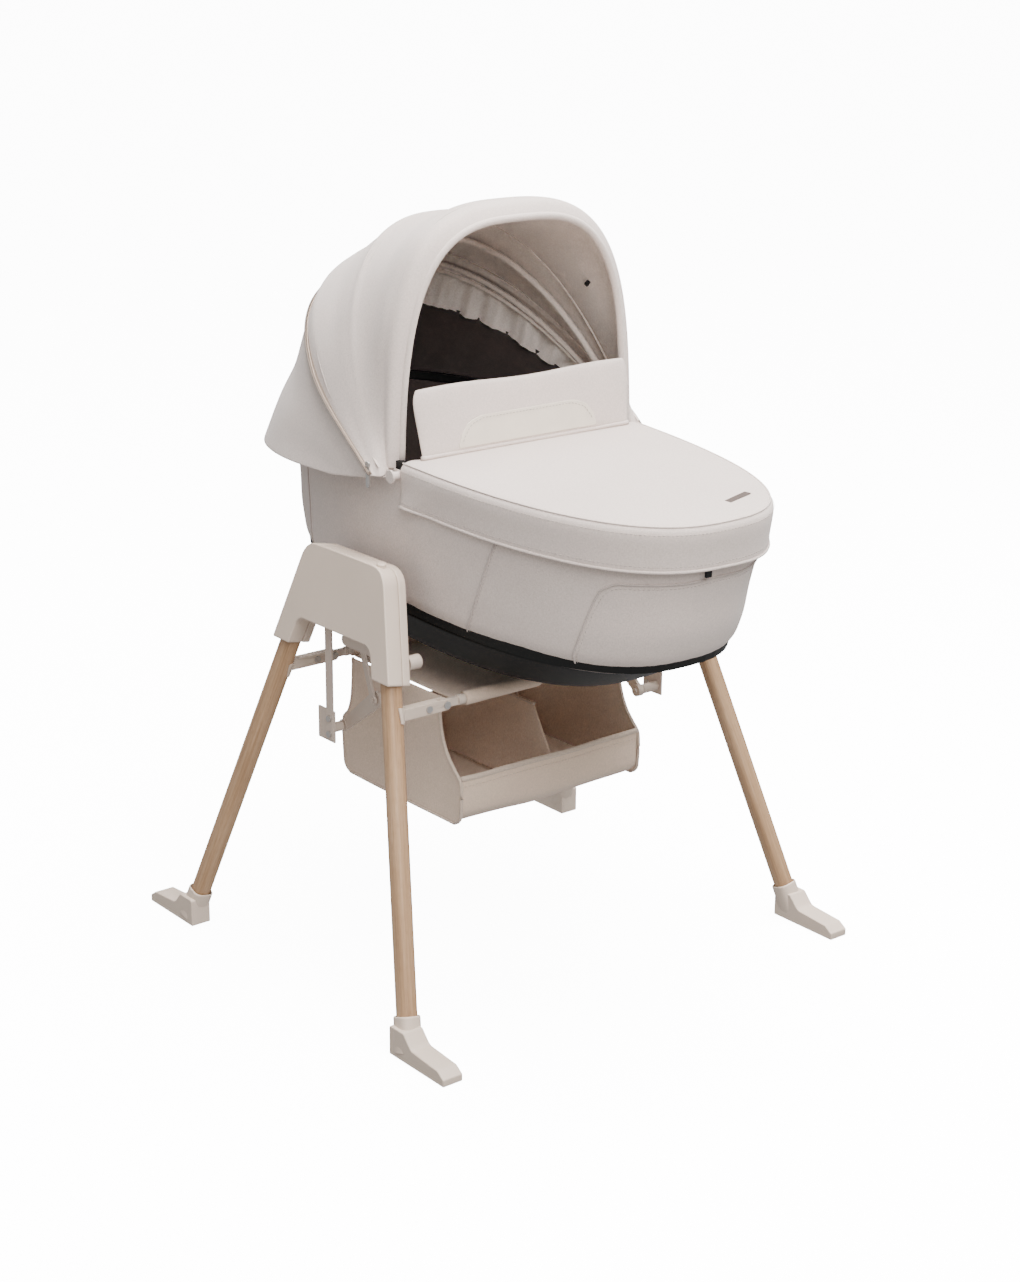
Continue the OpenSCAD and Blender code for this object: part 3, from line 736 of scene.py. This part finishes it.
for s, side, body in SIDES:
    for k, end in ((-1, "front"), (1, "rear")):
        # The right frame is turned, so its front leg is drawn with the rear one's numbers
        kk = k if s < 0 else -k
        leg = on_leg(f"oak_leg_{end}_{side}", s, kk, 0.014, 0.452, lambda v: 0.0118, 2.7, "oak", nv=60)
        ridden(leg, body, "leg_wood", f"leg_{end}_{side}")
        shoe = slab(
            f"boot_{end}_{side}",
            fillet([(kk * y, z) for y, z in FOOT], [0.002, 0.002, 0.003, 0.006, 0.012, 0.004, 0.004], 4),
            -0.0145, 0.0145, foot_place(s), "stone", 0.0038,
        )
        ridden(shoe, body, "moulding", f"foot_{end}_{side}")
        collar = on_leg(f"boot_collar_{end}_{side}", s, kk, 0.006, 0.047,
                        lambda v: 0.0150 - 0.0004 * v if v < 0.97 else 0.0138, 3.0, "stone", nv=30)
        thicken(collar, 0.0012, -1, 0)
        ridden(collar, body, "moulding")
    hub = slab(f"hub_cap_{side}", HUB, -0.017, 0.0049, hub_place(s), "stone", 0.009, 6)
    ridden(hub, body, "moulding", f"hub_outer_{side}")
    hub = slab(f"hub_back_{side}", HUB, 0.0055, 0.017, hub_place(s), "stone", 0.0055, 4)
    ridden(hub, body, "moulding", f"hub_inner_{side}")
    cad_mat("stone", 0.0012, f"brackets_{side}")
    for part in ("hanger", "strut", "link", "rocker_arm", "rocker_rail"):
        cad_mat("coat", 0.0006, f"{part}_{side}")
    cad_mat("steel", 0.0004, f"rivets_{side}", f"hinge_pins_{side}")
    cad_mat("stone", 0.0012, f"button_{side}")

cad_mat("coat", 0.0006, "bar_front_a", "bar_front_b", "bar_rear_a", "bar_rear_b")
cad_mat("steel", 0.0004, "centre_pin_front", "centre_pin_rear")
cad_mat("stone", 0.0015, "adapters")


# ---------------------------------------------------------------- basket

# Half the basket's width, and its canvas's thickness
BW, BT = 0.1465, 0.0022


def basket():
    made = []
    path = [(-0.1175, 0.273), (-0.1175, 0.2255), (-0.102, 0.2105),
            (0.118, 0.2105), (0.1335, 0.2255), (0.1335, 0.284)]
    line = [Vector((0, y, z)) for y, z in path]
    row = []
    for i, (a, b) in enumerate(zip(line, line[1:])):
        n = 22 if i == 2 else 8
        row += [a.lerp(b, k / n) for k in range(n)]
    row.append(line[-1])
    for _ in range(3):
        row = averaged(row)
    n = len(row) - 1

    def tray(u, v):
        q = row[int(round(v * n))]
        x = (u * 2 - 1) * BW
        e = 1 - (x / BW) ** 4
        y, z = q.y, q.z
        low = exp(-((z - 0.2105) / 0.02) ** 2)
        z -= 0.0045 * e * low * (0.6 + 0.4 * cos(x * 26))
        y += (-1 if y < 0 else 1) * 0.0035 * e * (1 - low) * (1 if abs(y) > 0.1 else 0)
        p = P(x, y, z)
        return p + Vector((0, 1, 0.6)) * wobble(p, 14, 0.0016)

    bag = grid("basket_tray", tray, 36, n, "canvas", (2 * BW, length_of(row)))
    thicken(bag, BT, 0, 1)
    made.append((bag, (2 * BW, length_of(row)), None, "basket_body"))

    front = lookup([(0.209, -0.104), (0.214, -0.113), (0.222, -0.118), (0.268, -0.118), (0.280, -0.107),
                    (0.294, -0.094), (0.315, -0.083), (0.340, -0.077), (0.373, -0.0755)])
    rear = lookup([(0.209, 0.120), (0.214, 0.129), (0.222, 0.134), (0.284, 0.134),
                   (0.297, 0.122), (0.322, 0.114), (0.373, 0.112)])
    for s, side in ((-1, "left"), (1, "right")):
        def wall(u, v, s=s):
            z = 0.2095 + v * 0.1625
            y = front(z) + (rear(z) - front(z)) * u
            bow = sin(pi * u) * sin(pi * min(1, v * 1.05)) * 0.004
            p = P(s * (0.1475 - bow), y, z)
            return p + Vector((1, 0, 0)) * wobble(p, 11, 0.0016, 3.0 + s)

        o = grid(f"basket_side_{side}", wall, 30, 40, "canvas", (0.25, 0.1625))
        thicken(o, BT, 0, 1)
        made.append((o, (0.252, 0.1625), area_of(o), None))
        edge = [wall(0, k / 40) for k in range(41)]
        back = [wall(1, k / 40) for k in range(41)]
        foot = [wall(k / 40, 0) for k in range(41)]
        for nm, pts in (("front", edge), ("rear", back), ("base", foot)):
            t = tube(f"basket_binding_{nm}_{side}", pts, 0.0024, "canvas_edge", flat=0.8)
            made.append((t, None, None, None))

    for nm, v in (("front", 0.0), ("rear", 1.0)):
        pts = [tray(k / 40, v) + Vector((0, 0, -0.0005)) for k in range(41)]
        made.append((tube(f"basket_hem_{nm}", pts, 0.0026, "canvas_edge", flat=1.5), None, None, None))
        drop = Vector((0, -0.0016 if v == 0 else 0.0016, -0.010))
        t = stitches(f"basket_hem_stitch_{nm}", [p + drop for p in pts], "canvas_edge")
        made.append((t, None, None, None))

    def lid(u, v):
        p = P((u * 2 - 1) * 0.1455, (v * 2 - 1) * 0.1165, 0.3732)
        p.z -= 0.0025 * (1 - (u * 2 - 1) ** 4) * (1 - (v * 2 - 1) ** 4)
        return p + Vector((0, 0, 1)) * wobble(p, 12, 0.0012, 7.0)

    o = grid("basket_lid_cloth", lid, 30, 24, "canvas", (0.291, 0.233))
    thicken(o, BT, 0, 1)
    made.append((o, (0.291, 0.233), None, "basket_top"))
    for ey, nm in ((-1, "front"), (1, "rear")):
        for x0, x1, w in ((-0.1455, -0.026, "a"), (0.026, 0.1455, "b")):
            def sleeve(u, v, ey=ey, x0=x0, x1=x1):
                t = 2 * pi * u
                r = 0.0088 + wobble((v * 9, u * 3, ey), 1.3, 0.0006)
                return P(x0 + (x1 - x0) * v, ey * 0.120 + r * cos(t), 0.380 + r * sin(t))

            o = grid(f"basket_sleeve_{nm}_{w}", sleeve, 20, 16, "canvas", (0.055, 0.12), wrap=True)
            thicken(o, 0.0014, -1, 1)
            made.append((o, (0.055, 0.1195), None, None))

    def board(u, v):
        z0, z1 = 0.2135, 0.330
        z = z0 + (z1 - z0) * v
        a = float(np.interp(z, [0.2135, 0.270, 0.330], [-0.1145, -0.1145, -0.080]))
        b = float(np.interp(z, [0.2135, 0.282, 0.330], [0.1305, 0.1305, 0.112]))
        p = P(0.002 * sin(v * pi), a + (b - a) * u, z)
        return p + Vector((1, 0, 0)) * (wobble(p, 10, 0.004, 11.0) * (0.4 + v))

    o = grid("basket_divider_cloth", board, 30, 16, "canvas", (0.245, 0.1165))
    thicken(o, 0.0018, 0, 1)
    made.append((o, (0.245, 0.1165), area_of(o), "basket_divider"))
    top = [board(k / 30, 1) for k in range(31)]
    made.append((tube("basket_divider_hem", top, 0.002, "canvas_edge"), None, None, None))

    for o, flat, area, rep in made:
        ridden(o, "left_frame", "canvas", *([rep] if rep else []))
        box_uv(o.data)
        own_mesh(o)


basket()


# ---------------------------------------------------------------- carrycot

def near_y(y, z, s):
    """Point of the carrycot's side at a given y of its own frame, on side s."""
    ts = np.linspace(pi / 2, 3 * pi / 2, 1600) if s < 0 else np.linspace(-pi / 2, pi / 2, 1600)
    return outline(min(ts, key=lambda t: abs(outline_own(t, z).y - y)), z)


def near_x(x, z):
    """Point of the carrycot's front at a given x."""
    return outline(min(np.linspace(pi, 2 * pi, 1600), key=lambda t: abs(outline_own(t, z).x - x)), z)


def hem_inset(z):
    """How far the shell's cloth turns in above its lower hem."""
    return 0.0135 * max(0.0, (0.506 - z) / 0.028) ** 2


def on_cloth(t, z, lift=0.0):
    """Point of the shell's uneven cloth at angle t and height z, raised by lift."""
    p = outline(t, z, hem_inset(z))
    out = (p - outline(t, z, hem_inset(z) + 0.01)).normalized()
    return p + out * (wobble(p, 8, 0.0016, 2.0) + wobble(p, 22, 0.0007, 5.0) + lift)


def shell_pt(u, v):
    return on_cloth(ring_t(u), 0.4785 + 0.1845 * v)


def carrycot():
    body = "carrycot"
    # The shell takes the darker copy of the oat cloth, which is painted shade
    shell = grid("shell_cloth", shell_pt, RING_N, 40, "cloth_shaded_side", (RING_LEN, 0.19), wrap=True)
    thicken(shell, 0.0024, -1, 1)
    ridden(shell, body, "oat_fabric", "shell_fabric")
    box_uv(shell.data)

    ring = [shell_pt(k / RING_N, 0.0) for k in range(RING_N)]
    # The hem and seam tubes take the darker seam cloth, which is painted shade
    ridden(tube("shell_hem", ring, 0.0022, "seam", closed=True), body, "oat_fabric")

    def on_shell(pts):
        """Smooth line over the shell's cloth, near the given points."""
        out = []
        for a, b in zip(pts, pts[1:]):
            out += [a.lerp(b, k / 10) for k in range(10)]
        out = averaged(averaged(out + [pts[-1]]))
        fixed = []
        for q in out:
            own = untip(q)
            z = own.z
            best = atan2(own.y / 0.39, own.x / 0.18)
            for half in (0.5, 0.04, 0.003):
                near = np.linspace(best - half, best + half, 41)
                best = min(near, key=lambda t: (outline(t, z, hem_inset(z)) - q).length)
            fixed.append(on_cloth(best, z, 0.0002))
        return fixed

    for s, nm in ((-1, "left"), (1, "right")):
        seam = ((-0.217, 0.640), (-0.1946, 0.591), (-0.176, 0.541), (-0.164, 0.509), (-0.152, 0.480))
        line = on_shell([near_y(y, z, s) for y, z in seam])
        ridden(tube(f"shell_seam_{nm}", line, 0.0013, "seam"), body, "oat_fabric")
        beside = [p + Vector((0, -0.0042, 0)) for p in line]
        ridden(stitches(f"shell_seam_stitch_{nm}", beside), body, "oat_fabric")
        line = on_shell([near_y(0.20, z, s) for z in (0.480, 0.52, 0.58, 0.65)])
        ridden(tube(f"shell_rear_seam_{nm}", line, 0.0012, "seam"), body, "oat_fabric")

    pocket = ((-0.124, 0.480), (-0.128, 0.501), (-0.1275, 0.529), (-0.124, 0.567), (-0.121, 0.588),
              (-0.111, 0.599), (-0.083, 0.600), (-0.040, 0.600), (0.0, 0.602))
    half = [near_x(x, z) for x, z in pocket]
    line = on_shell(half + [Vector((-p.x, p.y, p.z)) for p in reversed(half[:-1])])
    edge = [p + Vector((0, -0.0006, 0)) for p in line]
    ridden(tube("pocket_edge", edge, 0.0013, "seam"), body, "oat_fabric")
    inner = []
    for p in line:
        toward = 0.006 if p.x < -0.118 else (-0.006 if p.x > 0.118 else 0)
        inner.append(p + Vector((toward, -0.0004, -0.006)))
    ridden(stitches("pocket_stitch", on_shell(inner)), body, "oat_fabric")

    # The pan under the shell: share of the way, height, half width, length toward the foot end
    prof = [(0.0, 0.4292, 0.040, 0.080), (0.45, 0.4292, 0.130, 0.250), (0.6, 0.4300, 0.142, 0.268),
            (0.7, 0.4335, 0.1478, 0.2785), (0.96, 0.4700, 0.1655, 0.336), (1.0, 0.4755, 0.1690, 0.3430)]

    def pan_pt(u, v):
        z, a, f = (float(np.interp(v, [q[0] for q in prof], [q[m] for q in prof])) for m in (1, 2, 3))
        x, y = ellipse(ring_t(u), a, f)
        return tip(Vector((x, y, z)))

    pan = grid("pan_shell", pan_pt, 120, 28, "black", (2.0, 0.3), wrap=True)
    bm = bmesh.new()
    bm.from_mesh(pan.data)
    bm.verts.ensure_lookup_table()
    bm.faces.new([bm.verts[i] for i in reversed(range(120))])
    bm.to_mesh(pan.data)
    bm.free()
    thicken(pan, 0.003, -1, 1)
    ridden(pan, body, "tub", "base_pan")

    # The inside of the carrycot
    def lining_pt(u, v):
        z = 0.4855 + 0.1750 * v
        p = outline(ring_t(u), z, 0.0085 + 0.005 * exp(-((z - 0.53) / 0.03) ** 2))
        q = outline(ring_t(u), z, 0.02)
        return p + (q - p).normalized() * (abs(wobble(p, 9, 0.004, 4.0)) + abs(wobble(p, 25, 0.0012, 9.0)))

    # The lining's near-black colour is partly painted shade
    lining = grid("lining_cloth", lining_pt, RING_N, 26, "dark", (RING_LEN, 0.175), wrap=True)
    thicken(lining, 0.0016, 1, 1)
    ridden(lining, body, "lining", "lining")
    box_uv(lining.data)

    def pad_pt(u, v):
        t = ring_t(u)
        a = v * pi
        h = 0.0132 * pw(-cos(a), 0.42)
        k = pw(sin(a), 0.30)
        e = outline_own(t, 0.498, 0.0175 + 0.002 * (1 - k))
        c = Vector((0, e.y * 0.25, 0))
        crown = 0.004 * (1 - k) if v > 0.5 else 0
        q = Vector((c.x + (e.x - c.x) * k, c.y + (e.y - c.y) * k, 0.4982 + h + crown))
        if v > 0.5:
            q.z -= 0.0012 * (0.5 + 0.5 * cos(q.y * 90)) * min(1, (1 - k) * 3 + 0.2)
        return tip(q)

    pad = grid("mattress_pad", pad_pt, RING_N, 40, "quilt", (RING_LEN, 0.4), wrap=True)
    smooth_out(pad)
    ridden(pad, body, "mattress", "mattress")
    box_uv(pad.data)
    piping = [pad_pt(k / RING_N, 0.78) + Vector((0, 0, 0.0003)) for k in range(RING_N)]
    ridden(tube("mattress_piping", piping, 0.0016, "quilt", closed=True), body, "mattress")
    cad_mat("black", 0, "carrycot_tub")
    cad_mat("black", 0.0008, "top_rim")


carrycot()


# ---------------------------------------------------------------- apron over the foot end

# Where the apron begins in the carrycot's own frame, just under the hood's front edge
APRON_Y = -0.043
# Depth from which the apron's top is drawn round one middle point
APRON_C = -0.27


def apron_edge(a, f, n):
    """Foot-end part of the apron's outline, evenly spaced, from the hood's left edge to its right one."""
    t0 = float(np.arcsin((-APRON_Y / f) ** 1.275))
    ts = np.linspace(pi + t0, 2 * pi - t0, 3000)
    x = a * np.sign(np.cos(ts)) * np.abs(np.cos(ts)) ** (2 / 2.55)
    y = -f * np.abs(np.sin(ts)) ** (2 / 2.55)
    cum = np.concatenate([[0], np.cumsum(np.hypot(np.diff(x), np.diff(y)))])
    g = np.linspace(0, cum[-1], n + 1)
    return np.interp(g, cum, x), np.interp(g, cum, y), cum[-1]


def apron():
    n = 160
    x0, y0, total = apron_edge(0.1945, 0.4215, n)
    prof = [(0.6180, 0.0058), (0.6225, 0.0056), (0.631, 0.0052), (0.641, 0.0044), (0.650, 0.0034),
            (0.6585, 0.0026), (0.6645, 0.0030), (0.6695, 0.0048), (0.6730, 0.0082), (0.6748, 0.0128),
            (0.6758, 0.020)]
    m_top = 22
    rows = len(prof) + m_top

    def fn(u, v):
        i = int(round(u * n))
        j = int(round(v * (rows - 1)))
        x, y = x0[i], y0[i]
        c = Vector((0.0, max(y, APRON_C), 0))
        e = Vector((x, y, 0))
        d = (c - e).normalized()
        if j < len(prof):
            z, ins = prof[j]
            q = e + d * ins
            q.z = z
            down = (0.675 - z) / 0.057
            ends = exp(-((y - APRON_Y) / 0.06) ** 2)
            fold = sin((y * 70) + z * 90) * 0.0024 * ends * down
            q -= d * (fold + wobble((x, y, z * 0.4), 9, 0.0020, 1.0) * down)
            q.z += wobble((x, y, 0), 7, 0.002, 8.0) * down * (1 if j == 0 else 0.6)
        else:
            k = (j - len(prof) + 1) / m_top
            s = e + d * 0.020
            q = s.lerp(c, k)
            past = q.y - APRON_Y
            q.z = 0.6758 + 0.0042 * (1 - (1 - k) ** 2) * (1 - 0.8 * exp(-(past / 0.07) ** 2))
            q.z += wobble((q.x, q.y, 0), 6, 0.0022, 3.0) * min(1, k * 3) * min(1, max(0.0, -past) / 0.08)
            q.z -= 0.0010 * exp(-(past / 0.045) ** 2)
        return tip(q)

    top = grid("apron_cloth", fn, n, rows - 1, "cloth", (total, 0.3))
    clean(top, 0.0004)
    for p in top.data.polygons:
        p.use_smooth = True
    thicken(top, 0.0026, -1, 1)
    ridden(top, "carrycot", "oat_fabric", "apron")
    box_uv(top.data)

    def ring(j, lift, out):
        """Line along row j of the apron, raised by lift and moved outward by out."""
        pts = []
        for i in range(n + 1):
            p = fn(i / n, j / (rows - 1))
            d = (p - tip(Vector((0, max(y0[i], APRON_C), untip(p).z)))).normalized()
            pts.append(p + d * out + Vector((0, 0, lift)))
        return pts

    ridden(tube("apron_piping", ring(8, 0.0, 0.0004), 0.0011, "cloth"), "carrycot", "oat_fabric")
    # The hem takes the darker copy of the oat cloth, which is painted shade
    ridden(tube("apron_hem", ring(0, 0.0008, 0.0002), 0.0019, "cloth_shaded_side"), "carrycot", "oat_fabric")
    ridden(stitches("apron_hem_stitch", ring(1, 0.003, 0.0004)), "carrycot", "oat_fabric")
    ridden(stitches("apron_top_stitch", ring(6, 0.0, 0.0004)), "carrycot", "oat_fabric")
    cad_mat("plaque", 0.0006, "badge")
    cad_mat("black", 0.0006, "hem_hook")


apron()


# ---------------------------------------------------------------- wind flap

def flap_at(x, h, w):
    """Point of the leaning flap, h up from its hinge and w out to the front."""
    a = FLAP_LEAN
    return P(x, FLAP_Y + h * sin(a) - w * cos(a), FLAP_Z + h * cos(a) + w * sin(a))


def pad_half(h):
    """Half the flap's thickness at height h."""
    return 0.0026 + 0.0017 * min(1.0, max(0.0, h) / 0.04)


def flap():
    half = lookup([(0.0, 0.166), (0.03, 0.169), (0.06, 0.172), (0.072, 0.171), (0.082, 0.166)])
    nu, nv = 60, 20

    def face(w):
        def fn(u, v):
            h = -0.0030 + 0.0855 * v
            x = (u * 2 - 1) * half(h)
            e = max(0.0, 1 - (u * 2 - 1) ** 10) * max(0.0, 1 - (v * 2 - 1) ** 6)
            t = pad_half(h) * e ** 0.42
            h += 0.0016 * sin(u * 9) * v
            return flap_at(x, h, w * t + wobble((x, h, 0), 14, 0.0016, 6.0) * e)
        return fn

    f, b = face(1.0), face(-1.0)
    verts = [f(i / nu, j / nv) for j in range(nv + 1) for i in range(nu + 1)]
    base = len(verts)
    verts += [b(i / nu, j / nv) for j in range(nv + 1) for i in range(nu + 1)]
    faces = []
    for j in range(nv):
        for i in range(nu):
            a = j * (nu + 1) + i
            faces.append((a, a + 1, a + nu + 2, a + nu + 1))
            faces.append((base + a, base + a + nu + 1, base + a + nu + 2, base + a + 1))
    pad = add_mesh("flap_pad", verts, faces, "cloth")
    clean(pad, 0.0002)
    for p in pad.data.polygons:
        p.use_smooth = True
    smooth_out(pad)
    ridden(pad, "flap", "oat_fabric", "wind_flap")
    hinge = [flap_at((k / 30 - 1) * 0.165, -0.0012, 0.0) for k in range(61)]
    ridden(tube("flap_hinge_roll", hinge, 0.0030, "cloth"), "flap", "oat_fabric")
    box_uv(pad.data)

    corners = [(-0.110, 0.0035), (0.110, 0.0035), (0.106, 0.018), (0.094, 0.0335), (0.074, 0.0398)]
    shape = fillet(corners + [(-x, y) for x, y in reversed(corners[2:])], [0.003, 0.003] + [0.02] * 6, 6)

    def on_flap(u, v, w):
        e = max(0.0, 1 - (u / 0.169) ** 10) * max(0.0, 1 - (v / 0.0410 - 1) ** 6)
        return flap_at(u, v, pad_half(v) * e ** 0.42 + wobble((u, v, 0), 14, 0.0016, 6.0) * e + w)

    patch = slab("flap_patch_leather", dense(shape), 0.0, 0.0012, on_flap, "patch", 0.0005, 2)
    ridden(patch, "flap", "leatherette", "flap_patch")
    line = [on_flap(q.x * 0.965, q.y - 0.0034, 0.0013) for q in dense(shape) if q.y > 0.010]
    line.sort(key=lambda p: p.x)
    ridden(stitches("flap_patch_stitch", line, "thread"), "flap", "leatherette")


flap()


# ---------------------------------------------------------------- hood

# The hood by its angle round the hinge, in degrees: radius at the crest, half width, y and z of the
# cloth's lower ends, squareness of the arch, and the crest's real angle
HR = lookup([(-4, 0.432), (0, 0.415), (6, 0.392), (15, 0.366), (22, 0.3615), (36, 0.361), (47, 0.3365),
             (57, 0.329), (72, 0.309), (83, 0.3125), (90, 0.3095), (94, 0.2945)])
HA = lookup([(-4, 0.2165), (15, 0.216), (36, 0.216), (57, 0.2075), (72, 0.198), (83, 0.1935),
             (90, 0.1910), (94, 0.1780)])
HBY = lookup([(-4, 0.036), (6, 0.004), (15, -0.012), (22, -0.025), (36, -0.040), (47, -0.042),
              (57, -0.044), (72, -0.040), (83, -0.034), (94, -0.036)])
HBZ = lookup([(-4, 0.641), (6, 0.643), (22, 0.645), (36, 0.647), (57, 0.644), (72, 0.641), (94, 0.634)])
HN = lookup([(-4, 2.3), (57, 2.3), (72, 2.6), (83, 2.95), (94, 3.15)])
HT = lookup([(-4, -4), (60, 60), (72, 71), (83, 81.5), (90, 87), (94, 89.2)])


def hood_pt(th, ph, inset=0.0):
    """Point of the hood at th degrees round the hinge, ph degrees down from the crest, left negative."""
    r, a = HR(th) - inset, HA(th) - inset
    over_bows = 0.0042 * exp(-((th - 57.5) / 1.9) ** 2) + 0.0038 * exp(-((th - 36) / 2.2) ** 2)
    over_rim = 0.0080 * exp(-((th - 5.5) / 6.0) ** 2) * abs(cos(radians(ph))) ** 5
    h = abs(cos(radians(ph))) ** (2 / HN(th))
    r += over_bows + over_rim
    x = a * pw(sin(radians(ph)), 2 / HN(th))
    top = radians(HT(th))
    cy, cz = HOOD_Y + r * cos(top), HOOD_Z + r * sin(top)
    by, bz = HBY(th), HBZ(th)
    return P(x, by + (cy - by) * h, bz + (cz - bz) * h)


HOOD_NU = 120


def hood_grid(name, t0, t1, nv, mat, inset, ripple):
    """Sheet of the hood from angle t0 to t1, inside its surface by inset and ripple(th, ph)."""
    def fn(u, v):
        th, ph = t0 + (t1 - t0) * v, (u * 2 - 1) * 89.0
        return hood_pt(th, ph, inset + ripple(th, ph))

    return grid(name, fn, HOOD_NU, nv, mat, (0.9, 0.3))


def hood_blend(ob):
    """Bakes a piece's placement into its mesh."""
    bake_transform(ob)
    return ob


def hood_line(name, pts, r, mat, sides=8, flat=1.0, inset=0.0):
    """Tube along (th, ph) points of the hood."""
    line = [hood_pt(th, ph, inset) for th, ph in pts]
    ob = tube(name, line, r, mat, sides=sides, flat=flat)
    return hood_blend(ob)


def hood():
    def soft(th, ph):
        p = (th * 0.06, ph * 0.045, 0)
        return -wobble(p, 1.0, 0.0022, 12.0) * min(1.0, (94 - th) / 12 + 0.2)

    outer = hood_grid("hood_canopy", -4, 94, 98, "cloth", 0.0, soft)
    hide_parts("hood_rear", "hood_panel_mid", "hood_panel_front")
    box_uv(outer.data)
    hood_blend(outer)
    thicken(outer, 0.0018, -1, 1)

    inner = hood_grid("hood_lining", 34.5, 93.4, 62, "taupe", 0.0045,
                      lambda th, ph: wobble((th * 0.05, ph * 0.05, 0), 1.3, 0.003, 2.0))
    box_uv(inner.data)
    hood_blend(inner)

    def gathers(u, v):
        ph = (u * 2 - 1) * 88.5
        drop = 2.4 * wobble((ph * 0.06, 0, 3.0), 1.0, 1.0) + 0.5 * wobble((ph * 0.16, 0, 8.0), 1.0, 1.0)
        th = 34.8 - (11.0 + drop) * (1 - v)
        e = sin(pi * min(1, 0.25 + v * 0.75)) ** 0.5
        fold = sin(ph * 0.62 + 3.2 * wobble((ph * 0.05, v * 0.8, 0), 1, 1.0)) + 0.3 * sin(ph * 1.9 + v * 2)
        return hood_pt(th, ph, 0.0100 + 0.0036 * e * fold)

    # The strip's brightened colour is painted light against the shade inside the hood
    strip = grid("hood_gather", gathers, 260, 16, "gather_painted_light", (0.95, 0.07))
    box_uv(strip.data)
    hood_blend(strip)

    # Near-black sheet in the hood's rear: dark lining darkened further as painted shade
    dark = hood_grid("hood_liner_rear", -3.6, 24.5, 30, "dark", 0.006,
                     lambda th, ph: abs(wobble((th * 0.08, ph * 0.06, 0), 1.5, 0.006, 5.0)))
    box_uv(dark.data)
    hood_blend(dark)

    arc = [-88.5 + 177 * k / 120 for k in range(121)]
    edge = hood_line("hood_front_binding", [(93.8, a) for a in arc], 0.0048, "cloth", 12, 1.0, 0.0028)
    # The hood's seams take the darker seam cloth, which is painted shade
    seams = (("visor", 86.0, 0.0011), ("front_bow", 57.5, 0.0010), ("rear_bow", 36.0, 0.0010),
             ("front_bow_b", 60.0, 0.0008))
    for nm, th, r in seams:
        line = [(th, a) for a in arc]
        hood_line(f"hood_seam_{nm}", line, r, "seam", inset=-0.0002)
    for nm, th, r in (("a", 35.6, 0.0038), ("b", 33.7, 0.0034)):
        line = [(th, a) for a in arc]
        hood_line(f"hood_inner_ridge_{nm}", line, r, "taupe", inset=0.0115)
    line = [(57.0, a) for a in arc]
    hood_line("hood_inner_seam", line, 0.0012, "taupe", inset=0.0056)

    # The zip follows the rear bow and comes forward toward its ends
    zip_line = [(32.0 + 8.0 * (max(0, abs(a) - 60) / 28.5) ** 2, a)
                for a in (-88.5 + 177 * k / 160 for k in range(161))]
    hood_line("hood_zip_tape", zip_line, 0.0052, "tape", 8, 0.28, -0.0020)
    hood_line("hood_zip_teeth", zip_line, 0.0022, "zip", 8, 0.8, -0.0034)

    for sgn, nm in ((-1, "left"), (1, "right")):
        line = [(72.6, sgn * 53.0), (73.4, sgn * 54.2)]
        hood_line(f"hood_rivet_{nm}", line, 0.0040, "black", 10, 1.0, 0.0068)

    cover = tube("hood_mid_bow_cover", [hood_pt(50, a, 0.0145) for a in arc], 0.0042, "taupe", sides=10)
    ridden(cover, "hood_middle", "lining", "hood_bow_mid")
    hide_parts("hood_bow_front")
    cad_mat("steel", 0.0006, "zip_puller")
    cad_mat("cloth", 0.0010, "hood_discs")
    cad_mat("taupe", 0, "hood_bow_rear")


hood()

# The pieces made here that have no UVs yet
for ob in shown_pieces():
    if ob.type == "MESH" and not ob.data.uv_layers and "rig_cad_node" not in ob:
        box_uv(ob.data)
